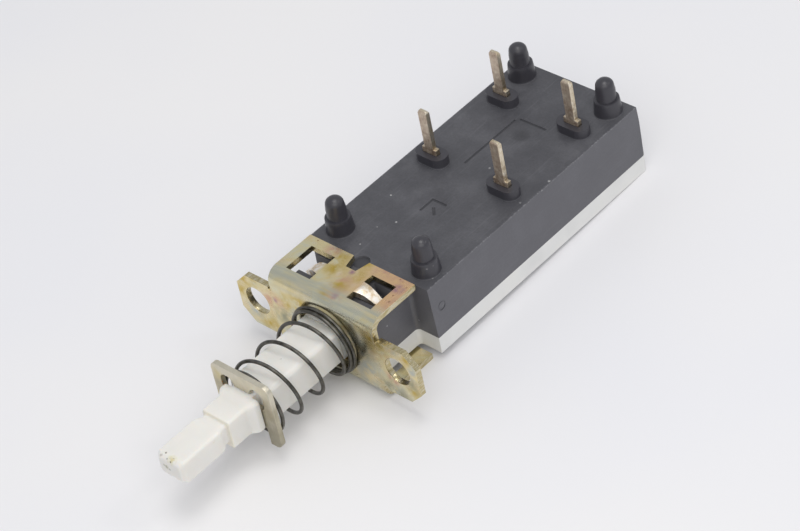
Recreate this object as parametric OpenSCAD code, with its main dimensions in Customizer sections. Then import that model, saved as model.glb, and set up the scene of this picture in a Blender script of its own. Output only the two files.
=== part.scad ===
// Latching push button switch, two poles and four terminals, with a folded panel bracket.
// Millimetres. The origin is midway between the two panel holes, on the bracket's front face:
// +Y runs back along the plunger, +X to the right, +Z towards the solder terminals.

/* [Housing] */
// Width of the cover's roof
body_w = 16.5; // [15.8:0.1:18]
// Length of the cover's roof behind the neck
body_l = 34; // [32:0.1:40]
// Distance that the cover's side and rear walls lean out from the roof down to the base
wall_lean = 0.25; // [0.1:0.05:0.35]
// Height of the dark cover
cover_h = 6.5; // [6.4:0.05:7.2]
// Height of the light base
base_h = 2.1; // [2:0.05:2.6]
// Width of the narrow neck that the bracket grips
neck_w = 11.1; // [10.8:0.1:12]
// Thickness of the housing's side and end walls
wall_t = 1.2; // [0.9:0.05:1.3]
// Thickness of the cover's roof
roof_t = 1.2; // [1:0.05:1.3]
// Thickness of the base's floor
floor_t = 1.2; // [1.15:0.05:1.3]
// Radius of the two rear corners
rear_r = 0.6; // [0.3:0.05:1]
// Radius of the fillets where the neck meets the shoulders
neck_fillet = 0.5; // [0.3:0.05:0.6]

/* [Bracket] */
// Thickness of the bracket's sheet
sheet_t = 0.7; // [0.6:0.05:0.8]
// Depth of the two flanges from the front face
flange_l = 6.8; // [6.6:0.1:8]
// Extra depth of the lower flange
lower_extra = 0.3; // [0:0.05:0.4]
// Width of the two flanges
flange_w = 14.8; // [13.8:0.1:15.4]
// Gap between the upper flange's rear edge and the housing's shoulder
flange_gap = 0.7; // [0.5:0.05:1.2]
// Gap between a flange and the neck
flange_rise = 0.3; // [0.05:0.05:0.4]
// Outer radius of the two bends
bend_r = 1.5; // [1.2:0.05:1.8]
// Distance between the two panel holes
hole_pitch = 20; // [19.5:0.1:21]
// Radius of each panel hole
hole_r = 1.7; // [1.5:0.05:1.9]
// Distance from a panel hole to the end of its ear
ear_end = 2.8; // [2.4:0.1:3.4]
// Height of an ear's upper edge above its hole
ear_up = 3; // [2.7:0.05:3.4]
// Depth of an ear's lower edge below its hole
ear_down = 3.65; // [3:0.05:3.75]
// Size of the cut across each ear's corners
ear_cut = 1.6; // [1:0.1:1.8]
// Distance from the front face to the flange windows
window_front = 1.64; // [1.5:0.02:2]
// Width of each flange window
window_w = 3.4; // [3.2:0.1:3.6]
// Depth of each flange window, front to back
window_l = 3.9; // [3.5:0.1:4.1]
// Width of each lanced tongue at its root
tongue_w = 1.7; // [1.3:0.1:2]
// Narrowing of each tongue's front edge towards its tip
tongue_taper = 0.7; // [0.2:0.1:0.8]
// Gap between a tongue and its window's rear edge
tongue_back = 1.2; // [0.9:0.05:1.4]
// Angle that each tongue is bent down by
tongue_angle = 40; // [30:1:45]

/* [Plunger] */
// Width of the plunger's shaft
shaft_w = 5; // [4.6:0.05:5.1]
// Height of the plunger's shaft
shaft_h = 4.14; // [3.9:0.02:4.2]
// Distance from the bracket to the front of the shaft
shaft_reach = 12.8; // [12.5:0.1:15]
// Width of the knob seat in front of the shaft
seat_w = 3.8; // [3.3:0.05:4]
// Height of the knob seat
seat_h = 3.6; // [3.2:0.05:3.8]
// Length of the knob seat
seat_l = 2.4; // [2:0.1:4]
// Width of the tip that the knob grips
tip_w = 3.7; // [3:0.05:3.8]
// Height of the tip
tip_h = 2.85; // [2.6:0.05:3.1]
// Length of the tip with its bevelled end
tip_l = 6.8; // [5:0.1:10]
// Full stroke of the plunger
travel = 4.5; // [3.9:0.1:4.6]
// Stroke at which the plunger stays latched
latched_travel = 3.3; // [2.9:0.05:3.4]

/* [Return spring] */
// Diameter of the return spring's wire
wire_d = 0.42; // [0.35:0.01:0.45]
// Mean diameter of the return spring
spring_d = 7.65; // [7.5:0.05:7.9]
// Distance that the return spring hangs below the shaft's centre line
spring_sag = 0.25; // [0:0.05:0.35]
// Distance that the return spring's front end leans to the right
spring_lean = 0.2; // [0:0.05:0.25]
// Open turns of the return spring
open_turns = 3; // [2:1:5]
// Distance from the front of the shaft to the keeper's rear face
keeper_inset = 1.4; // [1.3:0.05:2]
// Thickness of the keeper plate
keeper_t = 0.6; // [0.5:0.05:0.8]
// Width of the keeper plate
keeper_w = 8.3; // [7.6:0.1:8.6]
// Height of the keeper's bridge above the shaft
bridge_h = 2.05; // [1.6:0.05:2.3]

/* [Terminals] */
// Distance from the housing's shoulder to the front terminals
terminal_set = 15.9; // [15:0.1:16.5]
// Distance between the front and rear terminals
terminal_pitch = 11.55; // [11.2:0.05:12]
// Height of the blades above the cover
blade_h = 6.9; // [4:0.05:9]
// Width of a blade
blade_w = 1.2; // [0.9:0.05:1.6]
// Width of a blade's root, up to its shoulders
root_w = 2; // [1.8:0.05:2.4]
// Height of the root's shoulders above the cover's boss
root_rise = 0.65; // [0.3:0.05:1.2]
// Thickness of the terminals' sheet
blade_t = 0.6; // [0.5:0.02:0.65]
// Height of the oval boss round each blade
boss_h = 1.2; // [0.8:0.05:1.5]
// Length of the oval boss
boss_l = 4; // [3.4:0.1:4.4]
// Width of the oval boss
boss_w = 2.2; // [1.8:0.1:2.6]

/* [Board pegs] */
// Distance from the housing's sides to the pegs
peg_inset = 2.15; // [1.9:0.05:2.4]
// Distance from the housing's shoulder to the front pegs
peg_front = 2.35; // [2.2:0.05:2.8]
// Distance from the housing's rear to the rear pegs
peg_rear = 2.05; // [1.9:0.05:2.6]
// Radius of the stand-off collar's foot under each peg
collar_r = 1.6; // [1.5:0.05:1.8]
// Radius of the stand-off collar's top
collar_top_r = 1.4; // [1.35:0.05:1.5]
// Height of the stand-off collar
collar_h = 1.85; // [1.5:0.05:3]
// Radius of the peg
peg_r = 1.1; // [0.8:0.05:1.25]
// Height of the peg above its collar
peg_h = 2.55; // [1.8:0.05:3]

/* [Contacts] */
// Gap between a rocker and the side wall
rocker_room = 0.72; // [0.6:0.02:0.9]
// Width of a rocker
rocker_w = 2.6; // [2.2:0.05:2.8]
// Thickness of a rocker
rocker_t = 0.4; // [0.3:0.02:0.45]
// Angle that a rocker tilts by
rocker_angle = 16; // [12:0.5:17]
// Length of a rocker's front arm
rocker_front = 3.4; // [3:0.1:3.8]
// Radius of the rib that a rocker turns on
pivot_r = 0.3; // [0.2:0.01:0.35]
// Distance from a front terminal to its rocker's pivot
pivot_set = 2.6; // [2.4:0.05:2.8]
// Distance from a rocker's pivot to its contact
contact_arm = 7.2; // [6.8:0.1:7.5]
// Radius of the contact heads
contact_r = 0.9; // [0.7:0.02:1]
// Height of the fixed contact heads
contact_h = 0.45; // [0.3:0.01:0.5]
// Radius of the contact shanks
shank_r = 0.5; // [0.35:0.01:0.6]
// Radius of the sprung caps that push the rockers
cap_r = 0.9; // [0.75:0.01:0.95]
// Height of the sprung caps
cap_h = 1.7; // [1.4:0.05:1.8]
// Wire diameter of the small springs under the caps
cap_wire_d = 0.24; // [0.18:0.01:0.28]

/* [Latch] */
// Wire diameter of the latch pin
pin_d = 0.7; // [0.5:0.02:0.72]
// Distance from the pin's pivot to its follower
pin_l = 9; // [8.6:0.1:9.4]
// Sideways swing of the follower at full stroke
pin_swing = 1.6; // [1.5:0.02:1.65]
// Thickness of the leaf spring that presses the latch pin
leaf_t = 0.15; // [0.1:0.01:0.17]
// Width of the leaf spring
leaf_w = 2.4; // [2:0.1:2.6]

/* [Fits] */
// Sliding clearance on each side of the plunger
slide_gap = 0.1; // [0.06:0.01:0.12]
// Running clearance round small pins and shanks
pin_gap = 0.03; // [0.02:0.005:0.04]
// Clearance between parts that seat on one another
seat_gap = 0.05; // [0.02:0.005:0.06]
// Gap between closed contacts
contact_gap = 0.06; // [0.03:0.01:0.1]

/* [Hidden] */

// How far joined solids run into one another, and how far a cut runs past a surface
lap = 0.1;
thin = 0.01;
over = 1;

// Housing
top_z = (cover_h + base_h) / 2;
bottom_z = -top_z;
seam_z = bottom_z + base_h;
roof_z = top_z - roof_t;
floor_z = bottom_z + floor_t;
shoulder_y = flange_l + flange_gap;
rear_y = shoulder_y + body_l;
outer_w = body_w + 2 * wall_lean;
outer_rear = rear_y + wall_lean;
cavity_front = shoulder_y + wall_t;
cavity_rear = rear_y - wall_t;
cavity_w = body_w - 2 * wall_t;
neck_front = sheet_t;
bend_room = 0.2;
neck_cut = bend_r - sheet_t - bend_room;

// Marks moulded into the cover
mark_d = 0.1;
mark_w = 0.33;
arrow = [-0.95, shoulder_y + 11.2];
arrow_l = 2.2;
arrow_w = 2.1;
arrow_stem = [1.5, 2.8];
corner_lines = [-1.95, shoulder_y + 26.2];
corner_lines_l = 8.9;
corner_lines_w = 4.2;
corner_lines_gap = 0.5;
dish_set = [2.45, -2.2];
dish = corner_lines + dish_set;
dish_r = 1.5;
dish_d = 0.07;
ejector_mark = [-0.65, shoulder_y - 0.3];
ejector_mark_r = 0.95;
ejector_mark_d = 0.25;
gate_mark = [shoulder_y + 1.4, 1.25];
gate_mark_r = 0.56;
gate_ring = 0.16;
gate_d = 0.05;

// Pegs: the straight share of the shank, how much it narrows, and the dome's height for its radius
peg_straight = 0.45;
peg_taper = 0.08;
peg_dome = 0.75;

// Bracket: the windows stand between the neck's channel and the flanges' side edges
flange_z = top_z + flange_rise + sheet_t;
window_x = shaft_w / 2 + slide_gap;
tongue_rear = window_front + window_l - tongue_back;
tongue_front = tongue_rear - tongue_w;
tongue_r = 1.5;
tongue_flat = 1.5;
notch_depth = 1.6;
tongue_reach = (tongue_r + sheet_t) * sin(tongue_angle) + tongue_flat * cos(tongue_angle);
notch_start = 0.28;
notch_front = tongue_front + notch_start * tongue_taper;
notch_rear = window_front + window_l + seat_gap;
rear_notch_w = 1.4;
rear_notch_flare = 0.5;
rear_notch_l = 1.7;
relief_w = 0.35;

// Plunger
tip_lift = 0.18;
bevel_l = 0.5;
bevel = 0.35;
flare_l = 0.8;
seat_front = -shaft_reach - flare_l - seat_l;
waist_l = 1.2;
waist_front = seat_front - waist_l;
waist_slope = 0.7;
waist_d = 0.34;
waist_top_d = 0.16;
tip_front = seat_front - tip_l;
edge_cut = 0.3;
fine_cut = 0.15;
stop_w = 7.2;
stop_l = 3;
guide_l = 6.8;
guide_t = 0.8;
tail_w = 3;
tail_h = 3;
tail_rear = cavity_rear - travel - slide_gap;

// Keeper and its grooves in the shaft
keeper_rear = -shaft_reach + keeper_inset;
keeper_front = keeper_rear - keeper_t;
keeper_groove = 1.05;
keeper_corner = 0.9;
keeper_lead = 1;
keeper_relief_r = 0.93;
keeper_relief_set = 0.55;
keeper_relief_l = 0.7;
keeper_top = shaft_h / 2 + bridge_h;
keeper_legs = 2.1;
keeper_drop = shaft_h / 2 + keeper_legs;

// Return spring: closed turns at both ends and open turns between them; the rear ones widen and nest
front_turns = 0.75;
rear_turns = 2.04;
spring_turns = front_turns + open_turns + rear_turns;
closed_share = 1.05;
closed_pitch = wire_d * closed_share;
rear_share = 0.96;
rear_pitch = wire_d * rear_share;
widening_share = 0.38;
widening = wire_d * widening_share;
wire_gap = 0.02;
spring_rear = -wire_d / 2 - wire_gap;
spring_front = keeper_rear + wire_d / 2 + wire_gap;
open_l = spring_rear - spring_front - front_turns * closed_pitch - rear_turns * rear_pitch;
open_pitch = open_l / open_turns;
spring_end_angle = -90;

// Contacts: a rib on each rocker turns in a groove under the common terminal's foot
terminal_x = body_w / 2 - wall_t - rocker_room - rocker_w / 2;
terminal_front = shoulder_y + terminal_set;
terminal_rear = terminal_front + terminal_pitch;
common_foot_z = 1.5;
foot_end = 0.6;
foot_rib = 0.3;
pivot_y = terminal_front + pivot_set;
pivot_z = common_foot_z - seat_gap;
contact_foot_z = roof_z - blade_t;
contact_y = pivot_y + contact_arm;
contact_edge = 0.3;
moving_h = contact_foot_z - contact_h - contact_gap - pivot_z;
rocker_rear = contact_arm + contact_r + lap;
blade_bevel = 0.3;

// Sprung caps in the plunger's wings
cap_y = pivot_y - travel / 2;
cap_gap = 0.12;
cap_top = pivot_z - rocker_t - cap_gap;
cap_dome_r = 1.3;
wing_wall = 0.3;
wing_r = cap_r + pin_gap + wing_wall;
wing_lift = 0.15;
wing_bottom = floor_z + wing_lift;
wing_top = 0.1;
pocket_floor_t = 0.55;
pocket_floor = wing_bottom + pocket_floor_t;
cap_spring_h = cap_top - cap_h - pocket_floor;
cap_turns = 3;
spine_past = 2;
spine_rear = cap_y + wing_r + spine_past;

// Latch: the pin turns in the base and its follower runs in the heart cam under the plunger
pin_clear = 0.08;
pin_z = -shaft_h / 2 - pin_clear - pin_d / 2;
leaf_inset = 0.5;
leaf_rear = cavity_rear - guide_l - leaf_inset;
stake_set = 1.4;
stake_y = leaf_rear - stake_set;
stake_r = 0.5;
stake_head = 0.3;
pin_set = 2.6;
pin_y = stake_y - pin_set;
follower_y = pin_y - pin_l;
pin_arm_share = 0.9;
pin_arm_w = pin_arm_share * pin_d;
cam_depth = 1.2;
cam_play = 0.3;
cam_w = pin_d + cam_play;
follower_clear = 0.15;
follower_top = -shaft_h / 2 + cam_depth - follower_clear;
pin_seat = 0.9;
leaf_front_set = 1.2;
leaf_front = follower_y + leaf_front_set;
leaf_bend_set = 1;
leaf_bend = pin_y - leaf_bend_set;
leaf_hole_gap = 0.25;
leaf_hole_r = pin_d / 2 + leaf_hole_gap;

// Round shapes
$fn = 48;
wire_sides = 8;
wire_steps = 32;
cap_wire_steps = 24;

// A rectangle with cut corners
module cut_section(w, h, cut) {
    polygon([
        [-w / 2 + cut, -h / 2], [w / 2 - cut, -h / 2], [w / 2, -h / 2 + cut], [w / 2, h / 2 - cut],
        [w / 2 - cut, h / 2], [-w / 2 + cut, h / 2], [-w / 2, h / 2 - cut], [-w / 2, -h / 2 + cut]
    ]);
}

// A rectangle with rounded ends along X
module oval(l, w) {
    square([l - w, w], center = true);
    for (side = [-1, 1]) translate([side * (l - w) / 2, 0]) circle(w / 2);
}

// Extrudes an XZ section along +Y, from y = from to y = to
module along_y(from, to) {
    translate([0, to, 0]) rotate([90, 0, 0]) linear_extrude(to - from) children();
}

// Extrudes a YZ section along X, centred on x = 0
module along_x(w) {
    rotate([90, 0, 90]) linear_extrude(w, center = true) children();
}

// A solid that runs along +Y from its first section to its second
module tapered(from, to) {
    hull() {
        along_y(from, from + thin) children(0);
        along_y(to - thin, to) children(1);
    }
}

// A block given by its width, centred on x = 0, and by its y and z spans
module block(w, y0, y1, z0, z1) {
    translate([-w / 2, y0, z0]) cube([w, y1 - y0, z1 - z0]);
}

// Left and right copies
module both_sides() {
    children();
    mirror([1, 0, 0]) children();
}

// Housing with its neck, between two heights
module housing_shape(z0, z1) {
    translate([0, 0, z0]) linear_extrude(z1 - z0) difference() {
        union() {
            translate([-outer_w / 2, shoulder_y]) square([outer_w, outer_rear - rear_r - shoulder_y]);
            translate([-outer_w / 2 + rear_r, outer_rear - 2 * rear_r])
                square([outer_w - 2 * rear_r, 2 * rear_r]);
            for (side = [-1, 1])
                translate([side * (outer_w / 2 - rear_r), outer_rear - rear_r]) circle(rear_r);
            translate([-neck_w / 2, neck_front]) square([neck_w, cavity_front - neck_front]);
            translate([-neck_w / 2 - neck_fillet, shoulder_y - neck_fillet])
                square([neck_w + 2 * neck_fillet, neck_fillet + lap]);
        }
        for (side = [-1, 1])
            translate([side * (neck_w / 2 + neck_fillet), shoulder_y - neck_fillet]) circle(neck_fillet);
    }
}

// What the lean takes off a wall whose outer face stands at edge under the roof
module lean_section(edge) {
    run_out = wall_lean * over / (top_z - seam_z);
    polygon([
        [edge + wall_lean + run_out, seam_z - over], [edge - run_out, top_z + over],
        [edge + wall_lean + over, top_z + over], [edge + wall_lean + over, seam_z - over]
    ]);
}

// Cuts the cover's side and rear walls to their lean
module wall_slopes() {
    both_sides() along_y(shoulder_y - over, outer_rear + over) lean_section(body_w / 2);
    along_x(outer_w + over) lean_section(rear_y);
}

// Cut across the neck's upper front edge, clear of the bracket's bend
module neck_bevel() {
    along_x(neck_w + over) polygon([
        [neck_front - over, top_z - neck_cut - over], [neck_front + neck_cut + over, top_z + over],
        [neck_front - over, top_z + over]
    ]);
}

// Room for the bent tongues at the neck's sides
module tongue_notches(w, z0, z1) {
    both_sides() translate([window_x + seat_gap, notch_front, z0])
        cube([w, notch_rear - notch_front, z1 - z0]);
}

// A tapered collar, then a shank that is straight, tapers slightly and ends in a dome
module peg() {
    straight = peg_h * peg_straight;
    dome_r = peg_r - peg_taper;
    dome_z = peg_h - dome_r * peg_dome;
    translate([0, 0, top_z - lap]) cylinder(h = lap, r = collar_r);
    translate([0, 0, top_z]) cylinder(h = collar_h, r1 = collar_r, r2 = collar_top_r);
    translate([0, 0, top_z + collar_h]) rotate_extrude() polygon([
        [0, -lap], [peg_r, -lap], [peg_r, straight], [dome_r, dome_z],
        for (a = [15 : 15 : 90]) [dome_r * cos(a), dome_z + (peg_h - dome_z) * sin(a)]
    ]);
}

module at_pegs() {
    for (x = [-1, 1])
        for (y = [shoulder_y + peg_front, rear_y - peg_rear])
            translate([x * (body_w / 2 - peg_inset), y, 0]) children();
}

module at_terminals() {
    for (x = [-1, 1])
        for (y = [terminal_front, terminal_rear])
            translate([x * terminal_x, y, 0]) children();
}

// The slot that a terminal's root stands in
module root_slot(z0) {
    half = blade_t / 2 + seat_gap;
    block(root_w + 2 * seat_gap, -half, half, z0, top_z + boss_h + over);
}

// An arrow, two corner lines, a shallow dish, an ejector's round mark and the gate's ring
module cover_marks() {
    two_lines(arrow, arrow_l, arrow_w, 0);
    translate([arrow[0], arrow[1], top_z - mark_d]) rotate(-45) translate([arrow_stem[0], -mark_w / 2, 0])
        cube([arrow_stem[1] - arrow_stem[0], mark_w, over]);
    two_lines(corner_lines, corner_lines_l, corner_lines_w, corner_lines_gap);
    translate([dish[0], dish[1], top_z]) intersection() {
        ball_r = (dish_r * dish_r + dish_d * dish_d) / (2 * dish_d);
        translate([0, 0, ball_r - dish_d]) sphere(ball_r);
        cylinder(h = 2 * over, r = dish_r + lap, center = true);
    }
    translate([ejector_mark[0], ejector_mark[1], top_z - ejector_mark_d])
        cylinder(h = over, r = ejector_mark_r);
    gate_x = body_w / 2 + wall_lean * (top_z - gate_mark[1]) / (top_z - seam_z) - gate_d;
    translate([gate_x, gate_mark[0], gate_mark[1]]) rotate([0, 90, 0]) difference() {
        cylinder(h = over, r = gate_mark_r);
        translate([0, 0, -lap]) cylinder(h = 2 * over, r = gate_mark_r - gate_ring);
    }
}

// Lines from a corner to the front and to the right, each starting a gap away from the corner
module two_lines(corner, l, w, gap) {
    translate([corner[0], corner[1], top_z - mark_d]) {
        translate([0, -l, 0]) cube([mark_w, l - gap, over]);
        translate([gap, -mark_w, 0]) cube([w - gap, mark_w, over]);
    }
}

// Channel that guides the plunger's tail
module tail_guide() {
    inner_w = tail_w + 2 * slide_gap;
    guide_front = cavity_rear - guide_l;
    difference() {
        block(inner_w + 2 * guide_t, guide_front, cavity_rear + lap, -tail_h / 2, roof_z + lap);
        block(inner_w, guide_front - over, cavity_rear, -tail_h, tail_h / 2 + slide_gap);
    }
}

// Rib that holds a common terminal's foot down from the roof
module foot_support() {
    difference() {
        translate([terminal_x, 0, 0]) block(
            rocker_w + 2 * foot_rib, terminal_front - blade_t / 2 - foot_rib, pivot_y + foot_end,
            common_foot_z + blade_t, roof_z + lap
        );
        translate([terminal_x, terminal_front, 0]) root_slot(common_foot_z);
    }
}

module cover() {
    color([0.33, 0.33, 0.35]) {
        difference() {
            union() {
                housing_shape(seam_z, top_z);
                at_pegs() peg();
                at_terminals() translate([0, 0, top_z - lap])
                    linear_extrude(boss_h + lap) oval(boss_l, boss_w);
            }
            block(cavity_w, cavity_front, cavity_rear, seam_z - over, roof_z);
            block(shaft_w + 2 * slide_gap, 0, cavity_front + over, seam_z - over, shaft_h / 2 + slide_gap);
            tongue_notches(neck_w, top_z - notch_depth, top_z + over);
            neck_bevel();
            wall_slopes();
            at_terminals() root_slot(roof_z - over);
            cover_marks();
        }
        both_sides() foot_support();
        tail_guide();
    }
}

module base() {
    color([0.9, 0.9, 0.88]) {
        difference() {
            housing_shape(bottom_z, seam_z);
            block(cavity_w, cavity_front, cavity_rear, floor_z, seam_z + over);
            tongue_notches(tongue_reach, bottom_z - over, bottom_z + notch_depth);
            mirror([0, 0, 1]) neck_bevel();
            translate([0, pin_y, floor_z - pin_seat])
                cylinder(h = pin_seat + over, r = pin_d / 2 + pin_gap);
        }
        translate([0, stake_y, floor_z - lap]) cylinder(h = lap + leaf_t + 2 * seat_gap, r = stake_r);
        translate([0, stake_y, floor_z + leaf_t + seat_gap])
            cylinder(h = stake_head, r = stake_r + stake_head);
        block(tail_w, cavity_rear - guide_l, cavity_rear, floor_z - lap, -tail_h / 2 - slide_gap);
    }
}

// Side view of the folded sheet's outside, or of its inside when it is given the sheet's thickness
module folded_section(inset) {
    half = flange_z - inset;
    r = bend_r - inset;
    flat = flange_l - bend_r + inset;
    translate([bend_r, 0]) square([flat, half]);
    translate([bend_r, -half]) square([flat + lower_extra, half + lap]);
    translate([inset, -half + r]) square([r + lap, 2 * (half - r)]);
    for (side = [-1, 1]) translate([bend_r, side * (half - r)]) circle(r);
}

// A tongue lanced from the window, bent down and outwards
module tongue() {
    outer_r = tongue_r + sheet_t;
    mid_r = tongue_r + sheet_t / 2;
    root_z = flange_z - outer_r;
    reach = 2 * outer_r;
    tip_x = window_x + mid_r * sin(tongue_angle) + tongue_flat * cos(tongue_angle);
    intersection() {
        along_y(tongue_front, tongue_rear) {
            translate([window_x, root_z]) intersection() {
                difference() {
                    circle(outer_r);
                    circle(tongue_r);
                }
                polygon([
                    [0, 0],
                    [-lap, reach],
                    [0, reach],
                    [reach * sin(tongue_angle), reach * cos(tongue_angle)]
                ]);
            }
            translate([window_x + mid_r * sin(tongue_angle), root_z + mid_r * cos(tongue_angle)])
                rotate(-tongue_angle) translate([-thin, -sheet_t / 2]) square([tongue_flat, sheet_t]);
        }
        linear_extrude(flange_z + over) polygon([
            [window_x - over, tongue_front], [window_x, tongue_front], [tip_x, tongue_front + tongue_taper],
            [tip_x + over, tongue_front + tongue_taper], [tip_x + over, tongue_rear + over],
            [window_x - over, tongue_rear + over]
        ]);
    }
}

// Two windows and the notch in the rear edge, cut in one flange
module flange_cuts() {
    cut_z = flange_z - sheet_t - over;
    cut_h = sheet_t + 2 * over;
    both_sides() translate([window_x, window_front, cut_z]) cube([window_w, window_l, cut_h]);
    translate([0, 0, cut_z]) linear_extrude(cut_h) polygon([
        [-rear_notch_w / 2, flange_l - rear_notch_l], [rear_notch_w / 2, flange_l - rear_notch_l],
        [rear_notch_w / 2 + rear_notch_flare, flange_l + lower_extra + lap],
        [-rear_notch_w / 2 - rear_notch_flare, flange_l + lower_extra + lap]
    ]);
}

module bracket() {
    color([0.76, 0.7, 0.5]) {
        difference() {
            union() {
                along_x(flange_w) difference() {
                    folded_section(0);
                    folded_section(sheet_t);
                }
                along_y(0, sheet_t) translate([0, (ear_up - ear_down) / 2])
                    cut_section(hole_pitch + 2 * ear_end, ear_up + ear_down, ear_cut);
            }
            along_y(-over, sheet_t + over)
                square([shaft_w + 3 * slide_gap, shaft_h + 4 * slide_gap], center = true);
            for (x = [-1, 1]) translate([x * hole_pitch / 2, -over, 0]) rotate([-90, 0, 0])
                cylinder(h = sheet_t + 2 * over, r = hole_r);
            for (x = [-1, 1]) for (z = [ear_up, -ear_down])
                translate([x * (flange_w + relief_w) / 2, sheet_t / 2, z])
                    cube([relief_w, sheet_t + over, 2 * relief_w], center = true);
            flange_cuts();
            mirror([0, 0, 1]) flange_cuts();
        }
        both_sides() {
            tongue();
            mirror([0, 0, 1]) tongue();
        }
    }
}

// Front of the plunger: bevelled tip, waist, knob seat and the flare into the shaft
module plunger_front() {
    flare_front = -shaft_reach - flare_l;
    waist_w = tip_w - 2 * waist_d;
    waist_h = tip_h - waist_d - waist_top_d;
    waist_lift = (waist_d - waist_top_d) / 2;
    translate([0, 0, tip_lift]) {
        tapered(tip_front, tip_front + bevel_l) {
            cut_section(tip_w - 2 * bevel, tip_h - 2 * bevel, edge_cut);
            cut_section(tip_w, tip_h, fine_cut);
        }
        along_y(tip_front + bevel_l, waist_front) cut_section(tip_w, tip_h, fine_cut);
        tapered(waist_front, waist_front + waist_slope) {
            cut_section(tip_w, tip_h, fine_cut);
            translate([0, waist_lift]) cut_section(waist_w, waist_h, fine_cut);
        }
        along_y(waist_front, seat_front + lap) translate([0, waist_lift])
            cut_section(waist_w, waist_h, fine_cut);
    }
    along_y(seat_front, flare_front) cut_section(seat_w, seat_h, fine_cut);
    tapered(flare_front, -shaft_reach) {
        cut_section(seat_w, seat_h, fine_cut);
        cut_section(shaft_w, shaft_h, edge_cut);
    }
}

// The cam's channel between two points of the follower's path
module channel(a, b) {
    d = b - a;
    translate(a) circle(cam_w / 2);
    translate(a) rotate(atan2(d[1], d[0])) translate([0, -cam_w / 2]) square([norm(d), cam_w]);
}

// The follower's way in along the right of the heart, to its latched place, and back along the left
module heart_cam() {
    far_y = pin_y - sqrt(pin_l * pin_l - pin_swing * pin_swing) - travel;
    start = [0, follower_y];
    right = [pin_swing, far_y];
    latched = [0, follower_y - latched_travel];
    left = [-pin_swing, far_y];
    translate([0, 0, -shaft_h / 2 - over]) linear_extrude(cam_depth + over) {
        channel(start, right);
        channel(right, latched);
        channel(latched, left);
        channel(left, start);
    }
}

module plunger() {
    stop_front = cavity_front + slide_gap;
    color([0.92, 0.9, 0.86]) difference() {
        union() {
            plunger_front();
            along_y(-shaft_reach, spine_rear) cut_section(shaft_w, shaft_h, edge_cut);
            block(stop_w, stop_front, stop_front + stop_l, -shaft_h / 2, shaft_h / 2);
            block(tail_w, spine_rear - lap, tail_rear, -tail_h / 2, tail_h / 2);
            block(2 * (terminal_x + wing_r), cap_y - wing_r, cap_y + wing_r, wing_bottom, wing_top);
        }
        both_sides() translate([shaft_w / 2 - keeper_groove, keeper_front - seat_gap, -shaft_h])
            cube([shaft_w, keeper_t + 2 * seat_gap, 2 * shaft_h]);
        both_sides() translate([terminal_x, cap_y, pocket_floor])
            cylinder(h = wing_top - pocket_floor + over, r = cap_r + pin_gap);
        block(shaft_w, cap_y - wing_r - lap, cap_y + wing_r + lap, wing_bottom - over, -shaft_h / 2);
        heart_cam();
    }
}

// A ring of points round the wire at one place of a coil
function ring(centre, out, up, r) =
    [
        for (k = [0 : wire_sides - 1])
            let (a = 360 * k / wire_sides)
            centre + r * (cos(a) * out + sin(a) * up)
    ];

function flatten(lists) = [for (list = lists) for (item = list) item];

// A wire through all its rings, closed at both ends
module swept_wire(rings) {
    n = wire_sides;
    last = len(rings) - 1;
    polyhedron(
        points = flatten(rings),
        faces = concat(
            [[for (k = [n - 1 : -1 : 0]) k]],
            [[for (k = [0 : n - 1]) last * n + k]],
            [for (i = [0 : last - 1]) for (k = [0 : n - 1]) let (m = (k + 1) % n)
                [i * n + k, i * n + m, (i + 1) * n + m, (i + 1) * n + k]]
        )
    );
}

function spring_y(turn) =
    spring_front
    + closed_pitch * min(turn, front_turns)
    + open_pitch * max(0, min(turn - front_turns, open_turns))
    + rear_pitch * max(0, turn - front_turns - open_turns);

function spring_r(turn) = spring_d / 2 + widening * max(0, turn - front_turns - open_turns);

function spring_ring(turn) =
    let (
        a = spring_end_angle + 360 * (spring_turns - turn),
        out = [cos(a), 0, sin(a)],
        y = spring_y(turn)
    )
    ring(spring_r(turn) * out + [spring_lean * y / keeper_rear, y, -spring_sag], out, [0, 1, 0], wire_d / 2);

module return_spring() {
    steps = round(spring_turns * wire_steps);
    color([0.29, 0.29, 0.28])
        swept_wire([for (i = [0 : steps]) spring_ring(spring_turns * i / steps)]);
}

// Plate with a slot that opens below, two round reliefs and a lead-in between its legs
module keeper_outline() {
    h = keeper_top + keeper_drop;
    slot_w = shaft_w - 2 * keeper_groove + 2 * seat_gap;
    lead_w = slot_w + 2 * keeper_lead;
    lead_z = -shaft_h / 2;
    difference() {
        translate([0, keeper_top - h / 2]) {
            square([keeper_w - 2 * keeper_corner, h], center = true);
            square([keeper_w, h - 2 * keeper_corner], center = true);
            for (x = [-1, 1]) for (z = [-1, 1])
                translate([x * (keeper_w / 2 - keeper_corner), z * (h / 2 - keeper_corner)])
                    circle(keeper_corner);
        }
        translate([-slot_w / 2, -keeper_drop - over])
            square([slot_w, keeper_drop + over + shaft_h / 2 + seat_gap]);
        for (side = [-1, 1]) translate([side * (slot_w / 2 + keeper_relief_set), shaft_h / 2 + lap]) {
            circle(keeper_relief_r);
            translate([-keeper_relief_r, -keeper_relief_l]) square([2 * keeper_relief_r, keeper_relief_l]);
            translate([0, -keeper_relief_l]) circle(keeper_relief_r);
        }
        polygon([
            [-lead_w / 2, -keeper_drop - over], [lead_w / 2, -keeper_drop - over],
            [lead_w / 2, lead_z], [slot_w / 2, lead_z + keeper_lead],
            [-slot_w / 2, lead_z + keeper_lead], [-lead_w / 2, lead_z]
        ]);
    }
}

module spring_keeper() {
    color([0.62, 0.58, 0.47]) along_y(keeper_front, keeper_rear) keeper_outline();
}

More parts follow.
